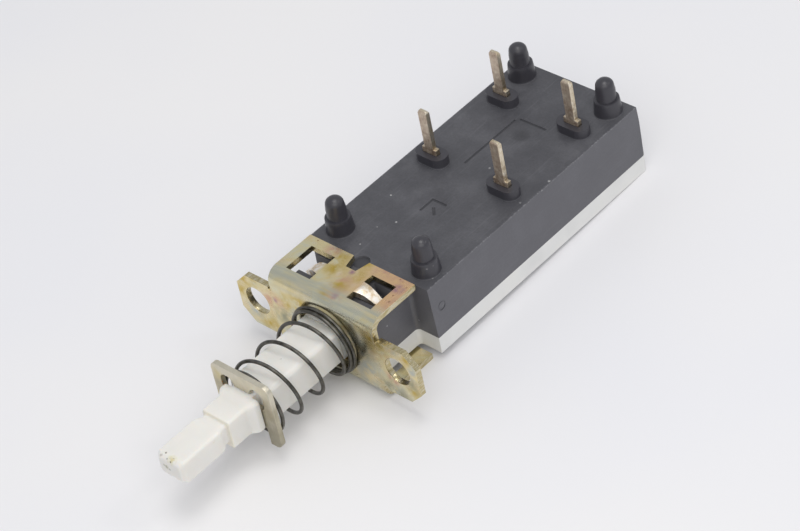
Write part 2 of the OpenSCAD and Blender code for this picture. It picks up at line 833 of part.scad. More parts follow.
module latch_pin() {
    arm_bottom = pin_z - pin_d / 2;
    arm_top = pin_z + pin_d / 2;
    foot = floor_z - pin_seat + seat_gap;
    color([0.75, 0.76, 0.78]) {
        translate([0, follower_y, arm_bottom]) cylinder(h = follower_top - arm_bottom, r = pin_d / 2);
        translate([0, pin_y, foot]) cylinder(h = arm_top - foot, r = pin_d / 2);
        block(pin_arm_w, follower_y, pin_y, arm_bottom, arm_top);
    }
}

module latch_spring() {
    low = floor_z + seat_gap / 2;
    high = pin_z - pin_d / 2 - seat_gap / 2 - leaf_t;
    color([0.8, 0.78, 0.68]) difference() {
        along_x(leaf_w) polygon([
            [leaf_front, high], [leaf_bend, low], [leaf_rear, low],
            [leaf_rear, low + leaf_t], [leaf_bend, low + leaf_t], [leaf_front, high + leaf_t]
        ]);
        translate([0, pin_y, floor_z - over]) cylinder(h = 2 * over, r = leaf_hole_r);
        translate([0, stake_y, floor_z - over]) cylinder(h = 2 * over, r = stake_r + seat_gap);
    }
}

// Side or front view of a blade, with a bevelled tip
module blade_section(w, foot_z) {
    tip_z = top_z + blade_h;
    polygon([
        [-w / 2, foot_z], [w / 2, foot_z], [w / 2, tip_z - blade_bevel], [w / 2 - blade_bevel / 2, tip_z],
        [-w / 2 + blade_bevel / 2, tip_z], [-w / 2, tip_z - blade_bevel]
    ]);
}

// Upright blade with shoulders on its root
module blade(foot_z) {
    block(root_w, -blade_t / 2, blade_t / 2, foot_z, top_z + boss_h + root_rise);
    intersection() {
        along_y(-blade_t / 2, blade_t / 2) blade_section(blade_w, foot_z);
        along_x(blade_w) blade_section(blade_t, foot_z);
    }
}

module common_terminal(side) {
    color([0.68, 0.63, 0.5]) translate([side * terminal_x, 0, 0]) {
        translate([0, terminal_front, 0]) blade(common_foot_z);
        difference() {
            block(rocker_w, terminal_front - blade_t / 2, pivot_y + foot_end,
                common_foot_z, common_foot_z + blade_t);
            translate([0, pivot_y, pivot_z]) along_x(rocker_w + over) circle(pivot_r + pin_gap);
        }
    }
}

module contact_terminal(side) {
    foot_front = contact_y - contact_r - contact_edge;
    color([0.68, 0.63, 0.5]) translate([side * terminal_x, 0, 0]) difference() {
        union() {
            translate([0, terminal_rear, 0]) blade(contact_foot_z);
            block(rocker_w, foot_front, terminal_rear + blade_t / 2, contact_foot_z, roof_z);
        }
        translate([0, contact_y, contact_foot_z - over])
            cylinder(h = blade_t + 2 * over, r = shank_r + pin_gap);
    }
}

module fixed_contact(side) {
    color([0.86, 0.86, 0.84]) translate([side * terminal_x, contact_y, contact_foot_z - contact_h]) {
        cylinder(h = contact_h, r = contact_r);
        cylinder(h = contact_h + blade_t - seat_gap, r = shank_r);
    }
}

// Turns a rear arm that is drawn level down to its open place
module opened() {
    translate([0, pivot_y, pivot_z]) rotate([-rocker_angle, 0, 0])
        translate([0, -pivot_y, -pivot_z]) children();
}

module rocker(side) {
    color([0.78, 0.62, 0.36]) translate([side * terminal_x, 0, 0]) {
        block(rocker_w, pivot_y - rocker_front, pivot_y, pivot_z - rocker_t, pivot_z);
        translate([0, pivot_y, pivot_z]) along_x(rocker_w) circle(pivot_r);
        opened() difference() {
            block(rocker_w, pivot_y, pivot_y + rocker_rear, pivot_z - rocker_t, pivot_z);
            translate([0, contact_y, pivot_z - rocker_t - over])
                cylinder(h = rocker_t + 2 * over, r = shank_r + pin_gap);
        }
    }
}

module moving_contact(side) {
    color([0.86, 0.86, 0.84]) translate([side * terminal_x, 0, 0]) opened() {
        translate([0, contact_y, pivot_z]) cylinder(h = moving_h, r = contact_r);
        translate([0, contact_y, pivot_z - rocker_t]) cylinder(h = rocker_t + lap, r = shank_r);
    }
}

module contact_cap(side) {
    color([0.9, 0.88, 0.82]) translate([side * terminal_x, cap_y, 0]) intersection() {
        translate([0, 0, cap_top - cap_h]) cylinder(h = cap_h, r = cap_r);
        translate([0, 0, cap_top - cap_dome_r]) union() {
            sphere(cap_dome_r);
            translate([0, 0, -cap_h]) cylinder(h = cap_h, r = cap_dome_r);
        }
    }
}

function cap_ring(side, t) =
    let (
        a = 360 * cap_turns * t,
        out = [cos(a), sin(a), 0],
        r = cap_r - cap_wire_d / 2 - seat_gap,
        rise = cap_spring_h - cap_wire_d - 2 * wire_gap
    )
    ring(
        [side * terminal_x, cap_y, pocket_floor + cap_wire_d / 2 + wire_gap + rise * t] + r * out,
        [0, 0, 1], out, cap_wire_d / 2
    );

module contact_spring(side) {
    steps = cap_turns * cap_wire_steps;
    color([0.7, 0.7, 0.7]) swept_wire([for (i = [0 : steps]) cap_ring(side, i / steps)]);
}

cover();
base();
bracket();
plunger();
return_spring();
spring_keeper();
latch_pin();
latch_spring();
common_terminal(-1);  // common_terminal_left
common_terminal(1);  // common_terminal_right
contact_terminal(-1);  // contact_terminal_left
contact_terminal(1);  // contact_terminal_right
fixed_contact(-1);  // fixed_contact_left
fixed_contact(1);  // fixed_contact_right
rocker(-1);  // rocker_left
rocker(1);  // rocker_right
moving_contact(-1);  // moving_contact_left
moving_contact(1);  // moving_contact_right
contact_cap(-1);  // contact_cap_left
contact_cap(1);  // contact_cap_right
contact_spring(-1);  // contact_spring_left
contact_spring(1);  // contact_spring_right
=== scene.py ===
import math

import bmesh
import bpy
from mathutils import Matrix, Vector


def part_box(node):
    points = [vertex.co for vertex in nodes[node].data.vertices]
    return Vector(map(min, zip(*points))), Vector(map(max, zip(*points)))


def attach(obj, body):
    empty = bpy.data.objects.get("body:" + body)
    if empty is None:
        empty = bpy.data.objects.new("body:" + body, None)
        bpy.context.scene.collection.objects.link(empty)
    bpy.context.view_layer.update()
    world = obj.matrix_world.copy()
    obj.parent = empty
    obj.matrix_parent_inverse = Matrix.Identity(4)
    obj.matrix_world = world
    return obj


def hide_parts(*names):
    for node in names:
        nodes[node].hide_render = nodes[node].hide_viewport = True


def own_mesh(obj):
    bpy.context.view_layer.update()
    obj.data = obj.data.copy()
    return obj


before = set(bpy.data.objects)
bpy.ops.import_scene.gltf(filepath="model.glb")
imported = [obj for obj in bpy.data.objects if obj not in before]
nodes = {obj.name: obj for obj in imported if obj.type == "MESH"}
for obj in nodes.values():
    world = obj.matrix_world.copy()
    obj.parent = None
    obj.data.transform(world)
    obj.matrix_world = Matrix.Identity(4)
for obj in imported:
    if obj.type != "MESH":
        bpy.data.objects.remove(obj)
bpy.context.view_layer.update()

mm = 0.001


def toLinear(hexColour):
    parts = [int(hexColour[i:i + 2], 16) / 255 for i in (1, 3, 5)]
    return tuple(p / 12.92 if p <= 0.04045 else ((p + 0.055) / 1.055) ** 2.4 for p in parts) + (1.0,)


def addNode(tree, kind, settings=None, inputs=None, stops=None):
    node = tree.nodes.new(kind)
    for name, value in (settings or {}).items():
        setattr(node, name, value)
    for name, value in (inputs or {}).items():
        socket = node.inputs[name]
        if isinstance(value, bpy.types.NodeSocket):
            tree.links.new(value, socket)
        else:
            socket.default_value = value
    if stops:  # a colour ramp's stops, as (place, hex colour)
        ramp = node.color_ramp
        while len(ramp.elements) < len(stops):
            ramp.elements.new(0.5)
        for element, (place, colour) in zip(ramp.elements, stops):
            element.position = place
            element.color = toLinear(colour)
    return node


def startMaterial(name):
    material = bpy.data.materials.new(name)
    material.use_nodes = True
    tree = material.node_tree
    tree.nodes.clear()
    shader = addNode(tree, "ShaderNodeBsdfPrincipled")
    addNode(tree, "ShaderNodeOutputMaterial", inputs={"Surface": shader.outputs[0]})
    place = addNode(tree, "ShaderNodeTexCoord").outputs["Object"]
    return material, tree, shader, place


def dress(piece, material):
    slots = piece.data.materials
    slots.clear()
    slots.append(material)


# Camera: a long lens, looking down over the front right

cameraView = {
    "azimuth": 50.55,  # degrees
    "elevation": 40.60,
    "roll": -12.73,
    "distance": 293.6,  # mm
    "target": (1.41, 10.41, 2.28),  # mm
    "lens": 127.63,  # mm
    "sensor": 36.0,  # mm
    "nearest": 0.01,  # m
}


def makeCamera():
    azimuth, elevation, roll = (math.radians(cameraView[k]) for k in ("azimuth", "elevation", "roll"))
    outward = math.cos(elevation)
    back = Vector((math.sin(azimuth) * outward, -math.cos(azimuth) * outward, math.sin(elevation)))
    level = Vector((math.cos(azimuth), math.sin(azimuth), 0))
    upright = back.cross(level)
    right = level * math.cos(roll) + upright * math.sin(roll)
    up = back.cross(right)
    lensData = bpy.data.cameras.new("camera")
    lensData.lens = cameraView["lens"]
    lensData.sensor_width = cameraView["sensor"]
    lensData.clip_start = cameraView["nearest"]
    camera = bpy.data.objects.new("camera", lensData)
    camera.matrix_world = Matrix((right, up, back)).transposed().to_4x4()
    camera.location = (Vector(cameraView["target"]) + back * cameraView["distance"]) * mm
    bpy.context.scene.collection.objects.link(camera)
    bpy.context.scene.camera = camera


makeCamera()
print("camera placed")


# Floor: it leans so that the lower flange and the base's rear edge both rest on it

floorLook = {
    "size": 3.0,  # m
    "shades": [(0.35, "#eaeaee"), (0.65, "#eeedee")],
    "patches": 18.0,  # to a metre
    "roughness": 0.55,
}


def makeFloor():
    flange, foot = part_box("bracket"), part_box("base")
    lean = math.atan2(foot[0].z - flange[0].z, foot[1].y - flange[1].y)
    mesh = bpy.data.meshes.new("floor")
    half = floorLook["size"] / 2
    corners = [(-half, -half, 0), (half, -half, 0), (half, half, 0), (-half, half, 0)]
    mesh.from_pydata(corners, [], [(0, 1, 2, 3)])
    floor = bpy.data.objects.new("floor", mesh)
    floor.location = (0, flange[1].y, flange[0].z)
    floor.rotation_euler = (lean, 0, 0)
    bpy.context.scene.collection.objects.link(floor)
    # matt paper: pale and even, with hardly a sheen
    material, tree, shader, place = startMaterial("mattePaperSweep")
    cloud = addNode(tree, "ShaderNodeTexNoise", inputs={
        "Vector": place, "Scale": floorLook["patches"], "Detail": 2.0})
    tint = addNode(tree, "ShaderNodeValToRGB", inputs={"Fac": cloud.outputs["Fac"]}, stops=floorLook["shades"])
    tree.links.new(tint.outputs["Color"], shader.inputs["Base Color"])
    shader.inputs["Roughness"].default_value = floorLook["roughness"]
    shader.inputs["IOR"].default_value = 1.45
    mesh.materials.append(material)


makeFloor()
print("floor laid")


# Light: a pale room, a soft panel overhead, a broad one at the front right and a small one at the rear

lightSetup = {
    "world": "#eef0f4",
    "worldStrength": 0.65,
    "panels": [
        # name, direction to it, distance and size in m, power in W, colour
        ("overhead", (0.05, 0.05, 1.0), 0.4, 0.2, 0.38, "#fffdfa"),
        ("key", (0.62, -0.52, 0.9), 0.4, 0.4, 0.55, "#fffdf8"),
        ("rear", (0.5, 0.48, 0.72), 0.7, 0.13, 0.2, "#fffdf8"),
    ],
}


def makeLight():
    world = bpy.data.worlds.new("room")
    bpy.context.scene.world = world
    world.use_nodes = True
    glow = world.node_tree.nodes["Background"]
    glow.inputs["Color"].default_value = toLinear(lightSetup["world"])
    glow.inputs["Strength"].default_value = lightSetup["worldStrength"]
    target = Vector(cameraView["target"]) * mm
    for name, direction, distance, size, power, colour in lightSetup["panels"]:
        panel = bpy.data.lights.new(name, "AREA")
        panel.shape = "DISK"
        panel.size = size
        panel.energy = power
        panel.color = toLinear(colour)[:3]
        lamp = bpy.data.objects.new(name, panel)
        away = Vector(direction).normalized()
        lamp.location = target + away * distance
        lamp.rotation_euler = away.to_track_quat("Z", "Y").to_euler()
        bpy.context.scene.collection.objects.link(lamp)
    bpy.context.scene.view_settings.view_transform = "Standard"


makeLight()
print("lights set")


# Edges: every moulded or stamped edge is broken a little, by a bevel that leaves the solids as they are

edgeBreaks = {  # radius in mm and steps, for a node or for a left and right pair
    "cover": (0.12, 2),
    "base": (0.16, 3),
    "bracket": (0.07, 2),
    "spring_keeper": (0.13, 3),
    "common_terminal": (0.08, 2),
    "contact_terminal": (0.08, 2),
    "rocker": (0.06, 2),
    "moving_contact": (0.08, 2),
    "fixed_contact": (0.08, 2),
    "contact_cap": (0.08, 2),
    "latch_pin": (0.06, 2),
    "latch_spring": (0.03, 2),
}
edgeRules = {
    "weld": 0.002,  # mm: corners nearer than this are one
    "flat": 0.5,  # degrees: faces that turn less than this are one
    "sharp": 28,  # degrees: edges that turn more than this are broken
}


def breakEdges(piece, radius, steps):
    weld = piece.modifiers.new("weld", "WELD")
    weld.merge_threshold = edgeRules["weld"] * mm
    flat = piece.modifiers.new("flat", "DECIMATE")
    flat.decimate_type = "DISSOLVE"
    flat.angle_limit = math.radians(edgeRules["flat"])
    edge = piece.modifiers.new("edge", "BEVEL")
    edge.width = radius * mm
    edge.segments = steps
    edge.limit_method = "ANGLE"
    edge.angle_limit = math.radians(edgeRules["sharp"])
    edge.use_clamp_overlap = True
    edge.harden_normals = False
    edge.miter_outer = "MITER_ARC"
    piece.modifiers.new("shade", "WEIGHTED_NORMAL").keep_sharp = False


for name, (radius, steps) in edgeBreaks.items():
    for node in [name] if name in nodes else [name + "_left", name + "_right"]:
        breakEdges(nodes[node], radius, steps)
print("edges broken")


# Plunger: its head and shaft get the soft corners of a moulding, and the slide inside keeps the solid's shape

plungerShape = {
    "partLine": -0.3,  # mm, where the soft head ends, behind the return spring's last turns
    "grid": 0.1,  # mm
    "softness": 0.5,
    "softening": 18,  # passes: more of them round the corners further
    "slideEdge": (0.06, 2),  # mm and steps
}


def cutPiece(name, source, planeY, keepFront):
    shape = bmesh.new()
    shape.from_mesh(nodes[source].data)
    bmesh.ops.remove_doubles(shape, verts=shape.verts, dist=edgeRules["weld"] * mm)
    everything = shape.verts[:] + shape.edges[:] + shape.faces[:]
    cut = bmesh.ops.bisect_plane(shape, geom=everything, plane_co=(0, planeY * mm, 0), plane_no=(0, 1, 0),
                                 clear_outer=keepFront, clear_inner=not keepFront)
    rim = [e for e in cut["geom_cut"] if isinstance(e, bmesh.types.BMEdge)]
    bmesh.ops.edgeloop_fill(shape, edges=rim)
    bmesh.ops.recalc_face_normals(shape, faces=shape.faces)
    mesh = bpy.data.meshes.new(name)
    shape.to_mesh(mesh)
    shape.free()
    piece = bpy.data.objects.new(name, mesh)
    bpy.context.scene.collection.objects.link(piece)
    return piece


def makePlunger():
    head = cutPiece("plungerHead", "plunger", plungerShape["partLine"], True)
    skin = head.modifiers.new("skin", "REMESH")
    skin.mode = "VOXEL"
    skin.voxel_size = plungerShape["grid"] * mm
    skin.use_smooth_shade = True
    soft = head.modifiers.new("soft", "SMOOTH")
    soft.factor = plungerShape["softness"]
    soft.iterations = plungerShape["softening"]
    slide = cutPiece("plungerSlide", "plunger", plungerShape["partLine"], False)
    breakEdges(slide, *plungerShape["slideEdge"])
    for piece in (head, slide):
        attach(piece, "plunger")
        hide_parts("plunger")
    return head, slide


plungerHead, plungerSlide = makePlunger()
print("plunger moulded")


# Return spring: a smooth sweep of the same coil as the solid's

returnSpring = {
    "wire": 0.42,  # mm
    "meanDiameter": 7.65,  # mm, of the open turns
    "frontTurns": 0.75,
    "frontPitch": 1.05,  # wire diameters
    "openTurns": 3.0,
    "rearTurns": 2.04,
    "rearPitch": 0.96,  # wire diameters
    "widening": 0.38,  # wire diameters per rear turn
    "sag": 0.25,  # mm
    "lean": 0.2,  # mm to the right at the keeper
    "endAngle": -90.0,  # degrees, where the rear end lies
    "stroke": 4.5,  # mm
    "sides": 14,
    "stepsPerTurn": 64,
}


def sweepWire(points, radius, sides):
    mesh = bpy.data.meshes.new("wire")
    shape = bmesh.new()
    rings = []
    side = None
    for i, point in enumerate(points):
        ahead = points[min(i + 1, len(points) - 1)] - points[max(i - 1, 0)]
        ahead.normalize()
        if side is None:
            side = ahead.orthogonal().normalized()
        side = (side - ahead * side.dot(ahead)).normalized()
        across = ahead.cross(side)
        rings.append([
            shape.verts.new(point + (side * math.cos(a) + across * math.sin(a)) * radius)
            for a in (2 * math.pi * k / sides for k in range(sides))
        ])
    for first, second in zip(rings, rings[1:]):
        for k in range(sides):
            m = (k + 1) % sides
            shape.faces.new((first[k], first[m], second[m], second[k])).smooth = True
    for ring, turn in ((rings[0], -1), (rings[-1], 1)):
        shape.faces.new(ring[::turn])
    bmesh.ops.recalc_face_normals(shape, faces=shape.faces)
    shape.to_mesh(mesh)
    shape.free()
    return mesh


def makeReturnSpring():
    coil = returnSpring
    low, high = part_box("return_spring")
    wire = coil["wire"] * mm
    front, rear = low.y + wire / 2, high.y - wire / 2
    closedPitch = wire * coil["frontPitch"]
    rearPitch = wire * coil["rearPitch"]
    openLength = rear - front - coil["frontTurns"] * closedPitch - coil["rearTurns"] * rearPitch
    openPitch = openLength / coil["openTurns"]
    turns = coil["frontTurns"] + coil["openTurns"] + coil["rearTurns"]
    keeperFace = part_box("spring_keeper")[1].y
    steps = round(turns * coil["stepsPerTurn"])
    points = []
    for i in range(steps + 1):
        turn = turns * i / steps
        angle = math.radians(coil["endAngle"] + 360 * (turns - turn))
        y = front + closedPitch * min(turn, coil["frontTurns"])
        y += openPitch * max(0, min(turn - coil["frontTurns"], coil["openTurns"]))
        closing = max(0, turn - coil["frontTurns"] - coil["openTurns"])
        y += rearPitch * closing
        r = coil["meanDiameter"] / 2 * mm + wire * coil["widening"] * closing
        lean = coil["lean"] * mm * y / keeperFace
        points.append(Vector((r * math.cos(angle) + lean, y, r * math.sin(angle) - coil["sag"] * mm)))
    spring = bpy.data.objects.new("returnCoil", sweepWire(points, wire / 2, coil["sides"]))
    bpy.context.scene.collection.objects.link(spring)
    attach(spring, "housing")
    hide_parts("return_spring")
    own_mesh(spring)
    return spring


coilPiece = makeReturnSpring()
print("return spring wound")


# Materials: a pattern's scale is one over its real size

def perSize(size):  # mm
    return 1 / (size * mm)


brokenMark = (0.36, 0.56)  # the noise below which a mark is gone, and above which it is whole


def marks(tree, place, spots, soft, ragged):
    # one factor for round marks at (x, y, z, radius) in mm: soft is the full part of the radius, and ragged
    # is the size in mm of the noise that breaks their edges up
    ragging = addNode(tree, "ShaderNodeTexNoise", inputs={
        "Vector": place, "Scale": perSize(ragged), "Detail": 3.0})
    total = 0.0
    for x, y, z, radius in spots:
        away = addNode(tree, "ShaderNodeVectorMath", {"operation": "DISTANCE"},
                       {0: place, 1: (x * mm, y * mm, z * mm)})
        near = addNode(tree, "ShaderNodeMapRange", inputs={
            "Value": away.outputs["Value"], "From Min": radius * mm, "From Max": radius * soft * mm,
            "To Min": 0.0, "To Max": 1.0})
        total = addNode(tree, "ShaderNodeMath", {"operation": "MAXIMUM"},
                        {0: near.outputs[0], 1: total}).outputs[0]
    gone, whole = brokenMark
    broken = addNode(tree, "ShaderNodeMapRange", inputs={
        "Value": ragging.outputs["Fac"], "From Min": gone, "From Max": whole})
    return addNode(tree, "ShaderNodeMath", {"operation": "MULTIPLY"},
                   {0: total, 1: broken.outputs[0]}).outputs[0]


def blendColour(tree, share, below, above):
    colours = {"Fac": share, "Color1": below, "Color2": toLinear(above) if isinstance(above, str) else above}
    return addNode(tree, "ShaderNodeMixRGB", inputs=colours).outputs[0]


coverLook = {
    "shades": [(0.3, "#434348"), (0.5, "#4c4c51"), (0.7, "#59595e")],
    "cloud": 4.5,  # mm
    "grain": 0.22,  # mm: the spark-eroded grain is finer, and is drawn as coarse as it shows
    "roughness": (0.46, 0.6),
    "bump": (0.32, 0.06),  # of the skin, and of the pegs and bosses
    "speckle": (0.9, 1.1),
    "raised": (0.03, 0.2, "#3b3a40"),  # pegs and bosses: mm above the roof where they start and are full
    "polish": 0.62,  # how rough the pegs and bosses are, to the rest
    "walls": (0.26, "#8a8a90"),  # how much paler the walls are: painted light, for the light the walls catch from the floor and the lamps
    "sunkShade": (0.02, 0.07, 0.6, "#2c2c30"),  # painted shade inside the moulded marks: mm below the roof, and how much darker they are
    "scuff": (0.25, 7.0, 0.5),  # mm across and along, and the turn in radians
    "scuffTone": (0.22, "#737378"),
    "edge": (8.25, 0.16),  # mm: the roof's long edges, and how far their pale flecks reach: worn edge and painted highlight
    "edgeTone": "#8c8c90",
    "dustTone": "#b4b4b4",
    "dust": [
        (-1.74, 13.77, 4.3, 0.17), (-2.68, 9.17, 4.3, 0.13), (-5.16, 16.74, 4.3, 0.15),
        (-2.95, 12.12, 4.3, 0.12), (1.14, 25.59, 4.3, 0.2), (7.98, 27.2, 4.3, 0.2), (8.3, 25.75, 4.2, 0.18),
        (7.6, 23.0, 4.3, 0.18), (5.66, 7.5, 1.35, 0.11), (6.0, 7.5, -0.87, 0.11), (5.56, 7.5, -2.2, 0.16),
        (5.55, 3.6, 1.2, 0.13), (7.3, 8.9, 5.7, 0.17), (7.65, 9.6, 5.75, 0.16), (7.5, 9.2, 4.4, 0.14),
        (5.2, 22.0, 5.0, 0.13),
    ],
}


def makeCoverMaterial():
    # black nylon with glass fibre, moulded in a spark-eroded tool: a dull dark grey skin with a fine grain,
    # and smoother, darker pegs and bosses where the tool was turned
    look = coverLook
    material, tree, shader, place = startMaterial("glassFilledNylon")
    roof = -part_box("base")[0].z  # the housing is as high above the middle as the base is below it
    spot = addNode(tree, "ShaderNodeSeparateXYZ", inputs={0: place})
    cloud = addNode(tree, "ShaderNodeTexNoise", inputs={
        "Vector": place, "Scale": perSize(look["cloud"]), "Detail": 6.0, "Roughness": 0.62})
    skin = addNode(tree, "ShaderNodeValToRGB", inputs={"Fac": cloud.outputs["Fac"]}, stops=look["shades"])
    grain = addNode(tree, "ShaderNodeTexNoise", inputs={
        "Vector": place, "Scale": perSize(look["grain"]), "Detail": 3.0, "Roughness": 0.6})
    darkest, palest = look["speckle"]
    speckle = addNode(tree, "ShaderNodeMapRange", inputs={
        "Value": grain.outputs["Fac"], "From Min": 0.3, "From Max": 0.7, "To Min": darkest, "To Max": palest})
    across, along, turned = look["scuff"]
    stretched = addNode(tree, "ShaderNodeMapping", inputs={
        "Vector": place, "Rotation": (0, 0, turned),
        "Scale": (perSize(across), perSize(along), perSize(across))})
    scuff = addNode(tree, "ShaderNodeTexNoise", inputs={
        "Vector": stretched.outputs[0], "Scale": 1.0, "Detail": 4.0})
    strength, scuffTone = look["scuffTone"]
    wearAndTopLight = addNode(tree, "ShaderNodeMapRange", inputs={
        "Value": scuff.outputs["Fac"], "From Min": 0.58, "From Max": 0.78, "To Min": 0.0, "To Max": strength})
    colour = addNode(tree, "ShaderNodeVectorMath", {"operation": "SCALE"},
                     {0: skin.outputs["Color"], "Scale": speckle.outputs[0]}).outputs[0]
    colour = blendColour(tree, wearAndTopLight.outputs[0], colour, scuffTone)
    facing = addNode(tree, "ShaderNodeNewGeometry")
    turn = addNode(tree, "ShaderNodeSeparateXYZ", inputs={0: facing.outputs["True Normal"]})
    # painted light: the walls are paler than the roof
    paler, wallLightTone = look["walls"]
    upright = addNode(tree, "ShaderNodeMapRange", inputs={
        "Value": turn.outputs["Z"], "From Min": 0.7, "From Max": 0.3, "To Min": 0.0, "To Max": paler})
    colour = blendColour(tree, upright.outputs[0], colour, wallLightTone)
    start, full, raisedTone = look["raised"]
    raised = addNode(tree, "ShaderNodeMapRange", inputs={
        "Value": spot.outputs["Z"], "From Min": roof + start * mm, "From Max": roof + full * mm}).outputs[0]
    colour = blendColour(tree, raised, colour, raisedTone)
    # painted shade: upward faces sunk below the roof, inside the moulded marks, are darker
    upward = addNode(tree, "ShaderNodeMapRange", inputs={
        "Value": turn.outputs["Z"], "From Min": 0.3, "From Max": 0.7})
    start, full, darker, sunkShadeTone = look["sunkShade"]
    below = addNode(tree, "ShaderNodeMapRange", inputs={
        "Value": spot.outputs["Z"], "From Min": roof - start * mm, "From Max": roof - full * mm,
        "To Min": 0.0, "To Max": darker})
    sunkShade = addNode(tree, "ShaderNodeMath", {"operation": "MULTIPLY"},
                   {0: upward.outputs[0], 1: below.outputs[0]})
    colour = blendColour(tree, sunkShade.outputs[0], colour, sunkShadeTone)
    # pale flecks along the roof's long edges: partly worn edge, partly painted highlight
    edgeX, reach = look["edge"]
    sideways = addNode(tree, "ShaderNodeMath", {"operation": "ABSOLUTE"}, {0: spot.outputs["X"]})
    profile = addNode(tree, "ShaderNodeCombineXYZ", inputs={"X": sideways.outputs[0], "Z": spot.outputs["Z"]})
    away = addNode(tree, "ShaderNodeVectorMath", {"operation": "DISTANCE"},
                   {0: profile.outputs[0], 1: (edgeX * mm, 0, roof)})
    rim = addNode(tree, "ShaderNodeMapRange", inputs={
        "Value": away.outputs["Value"], "From Min": reach * mm, "From Max": 0.0})
    fleck = addNode(tree, "ShaderNodeMapRange", inputs={
        "Value": grain.outputs["Fac"], "From Min": 0.5, "From Max": 0.62, "To Min": 0.12, "To Max": 0.75})
    wornEdgeAndHighlight = addNode(tree, "ShaderNodeMath", {"operation": "MULTIPLY"}, {0: rim.outputs[0], 1: fleck.outputs[0]})
    colour = blendColour(tree, wornEdgeAndHighlight.outputs[0], colour, look["edgeTone"])
    colour = blendColour(tree, marks(tree, place, look["dust"], 0.35, 0.3), colour, look["dustTone"])
    tree.links.new(colour, shader.inputs["Base Color"])
    low, high = look["roughness"]
    sheen = addNode(tree, "ShaderNodeMapRange", inputs={
        "Value": cloud.outputs["Fac"], "From Min": 0.35, "From Max": 0.65, "To Min": low, "To Max": high})
    smoother = addNode(tree, "ShaderNodeMapRange", inputs={
        "Value": raised, "To Min": 1.0, "To Max": look["polish"]})
    roughness = addNode(tree, "ShaderNodeMath", {"operation": "MULTIPLY"},
                        {0: sheen.outputs[0], 1: smoother.outputs[0]})
    tree.links.new(roughness.outputs[0], shader.inputs["Roughness"])
    skinBump, pegBump = look["bump"]
    depth = addNode(tree, "ShaderNodeMapRange", inputs={"Value": raised, "To Min": skinBump, "To Max": pegBump})
    bump = addNode(tree, "ShaderNodeBump", inputs={
        "Height": grain.outputs["Fac"], "Strength": depth.outputs[0], "Distance": 0.03 * mm})
    tree.links.new(bump.outputs[0], shader.inputs["Normal"])
    shader.inputs["IOR"].default_value = 1.5
    return material


baseLook = {
    "shades": [(0.3, "#dddddb"), (0.55, "#e6e6e4"), (0.75, "#ebeae6")],
    "cloud": 6.0,  # mm
    "grain": 0.3,  # mm
    "bump": 0.12,
    "roughness": 0.5,
}


def makeBaseMaterial():
    # white nylon, moulded: a cool white with a soft sheen
    material, tree, shader, place = startMaterial("whiteNylon")
    cloud = addNode(tree, "ShaderNodeTexNoise", inputs={
        "Vector": place, "Scale": perSize(baseLook["cloud"]), "Detail": 4.0})
    tint = addNode(tree, "ShaderNodeValToRGB", inputs={"Fac": cloud.outputs["Fac"]}, stops=baseLook["shades"])
    tree.links.new(tint.outputs["Color"], shader.inputs["Base Color"])
    shader.inputs["Roughness"].default_value = baseLook["roughness"]
    shader.inputs["IOR"].default_value = 1.5
    grain = addNode(tree, "ShaderNodeTexNoise", inputs={
        "Vector": place, "Scale": perSize(baseLook["grain"]), "Detail": 3.0})
    bump = addNode(tree, "ShaderNodeBump", inputs={
        "Height": grain.outputs["Fac"], "Strength": baseLook["bump"], "Distance": 0.03 * mm})
    tree.links.new(bump.outputs[0], shader.inputs["Normal"])
    return material


plungerLook = {
    "shades": [(0.3, "#e0dfd9"), (0.52, "#e5e3de"), (0.75, "#e9e7e2")],
    "cloud": 5.0,  # mm
    "ripple": (0.9, 0.18),  # mm, strength
    "roughness": 0.8,
    "shine": 0.15,
    "glow": (0.7, 0.9),  # how much light goes into the moulding, and how far in mm
    # a yellow line across the waist: its place and reach in mm, strength, colour
    "waist": (-16.02, 0.22, 0.4, "#d2c9ac"),
    # marks: colour, full part, ragged edge in mm, and each mark's place and radius in mm
    "smudges": ("#d4cda6", 0.1, 0.35, [
        (0.35, -22.6, 1.5, 0.75), (1.85, -18.2, 1.1, 0.2), (-0.5, -22.8, 0.3, 0.3),
    ]),
    "grime": ("#a3a294", 0.2, 0.16, [
        (-0.43, -22.8, 0.25, 0.36), (-0.1, -22.8, 0.12, 0.2), (-0.8, -22.8, 0.35, 0.2),
    ]),
    "dirt": ("#5b584c", 0.3, 0.22, [
        (-1.12, -22.7, 1.55, 0.3), (0.25, -6.5, 2.07, 0.16), (1.9, -12.25, 0.85, 0.22),
        (1.9, -12.45, 0.55, 0.16), (-0.75, -22.2, 1.6, 0.16), (0.05, -22.55, 1.6, 0.16),
        (-0.25, -22.7, 1.45, 0.18), (0.45, -22.35, 1.62, 0.13), (0.3, -22.75, 1.3, 0.14),
    ]),
}


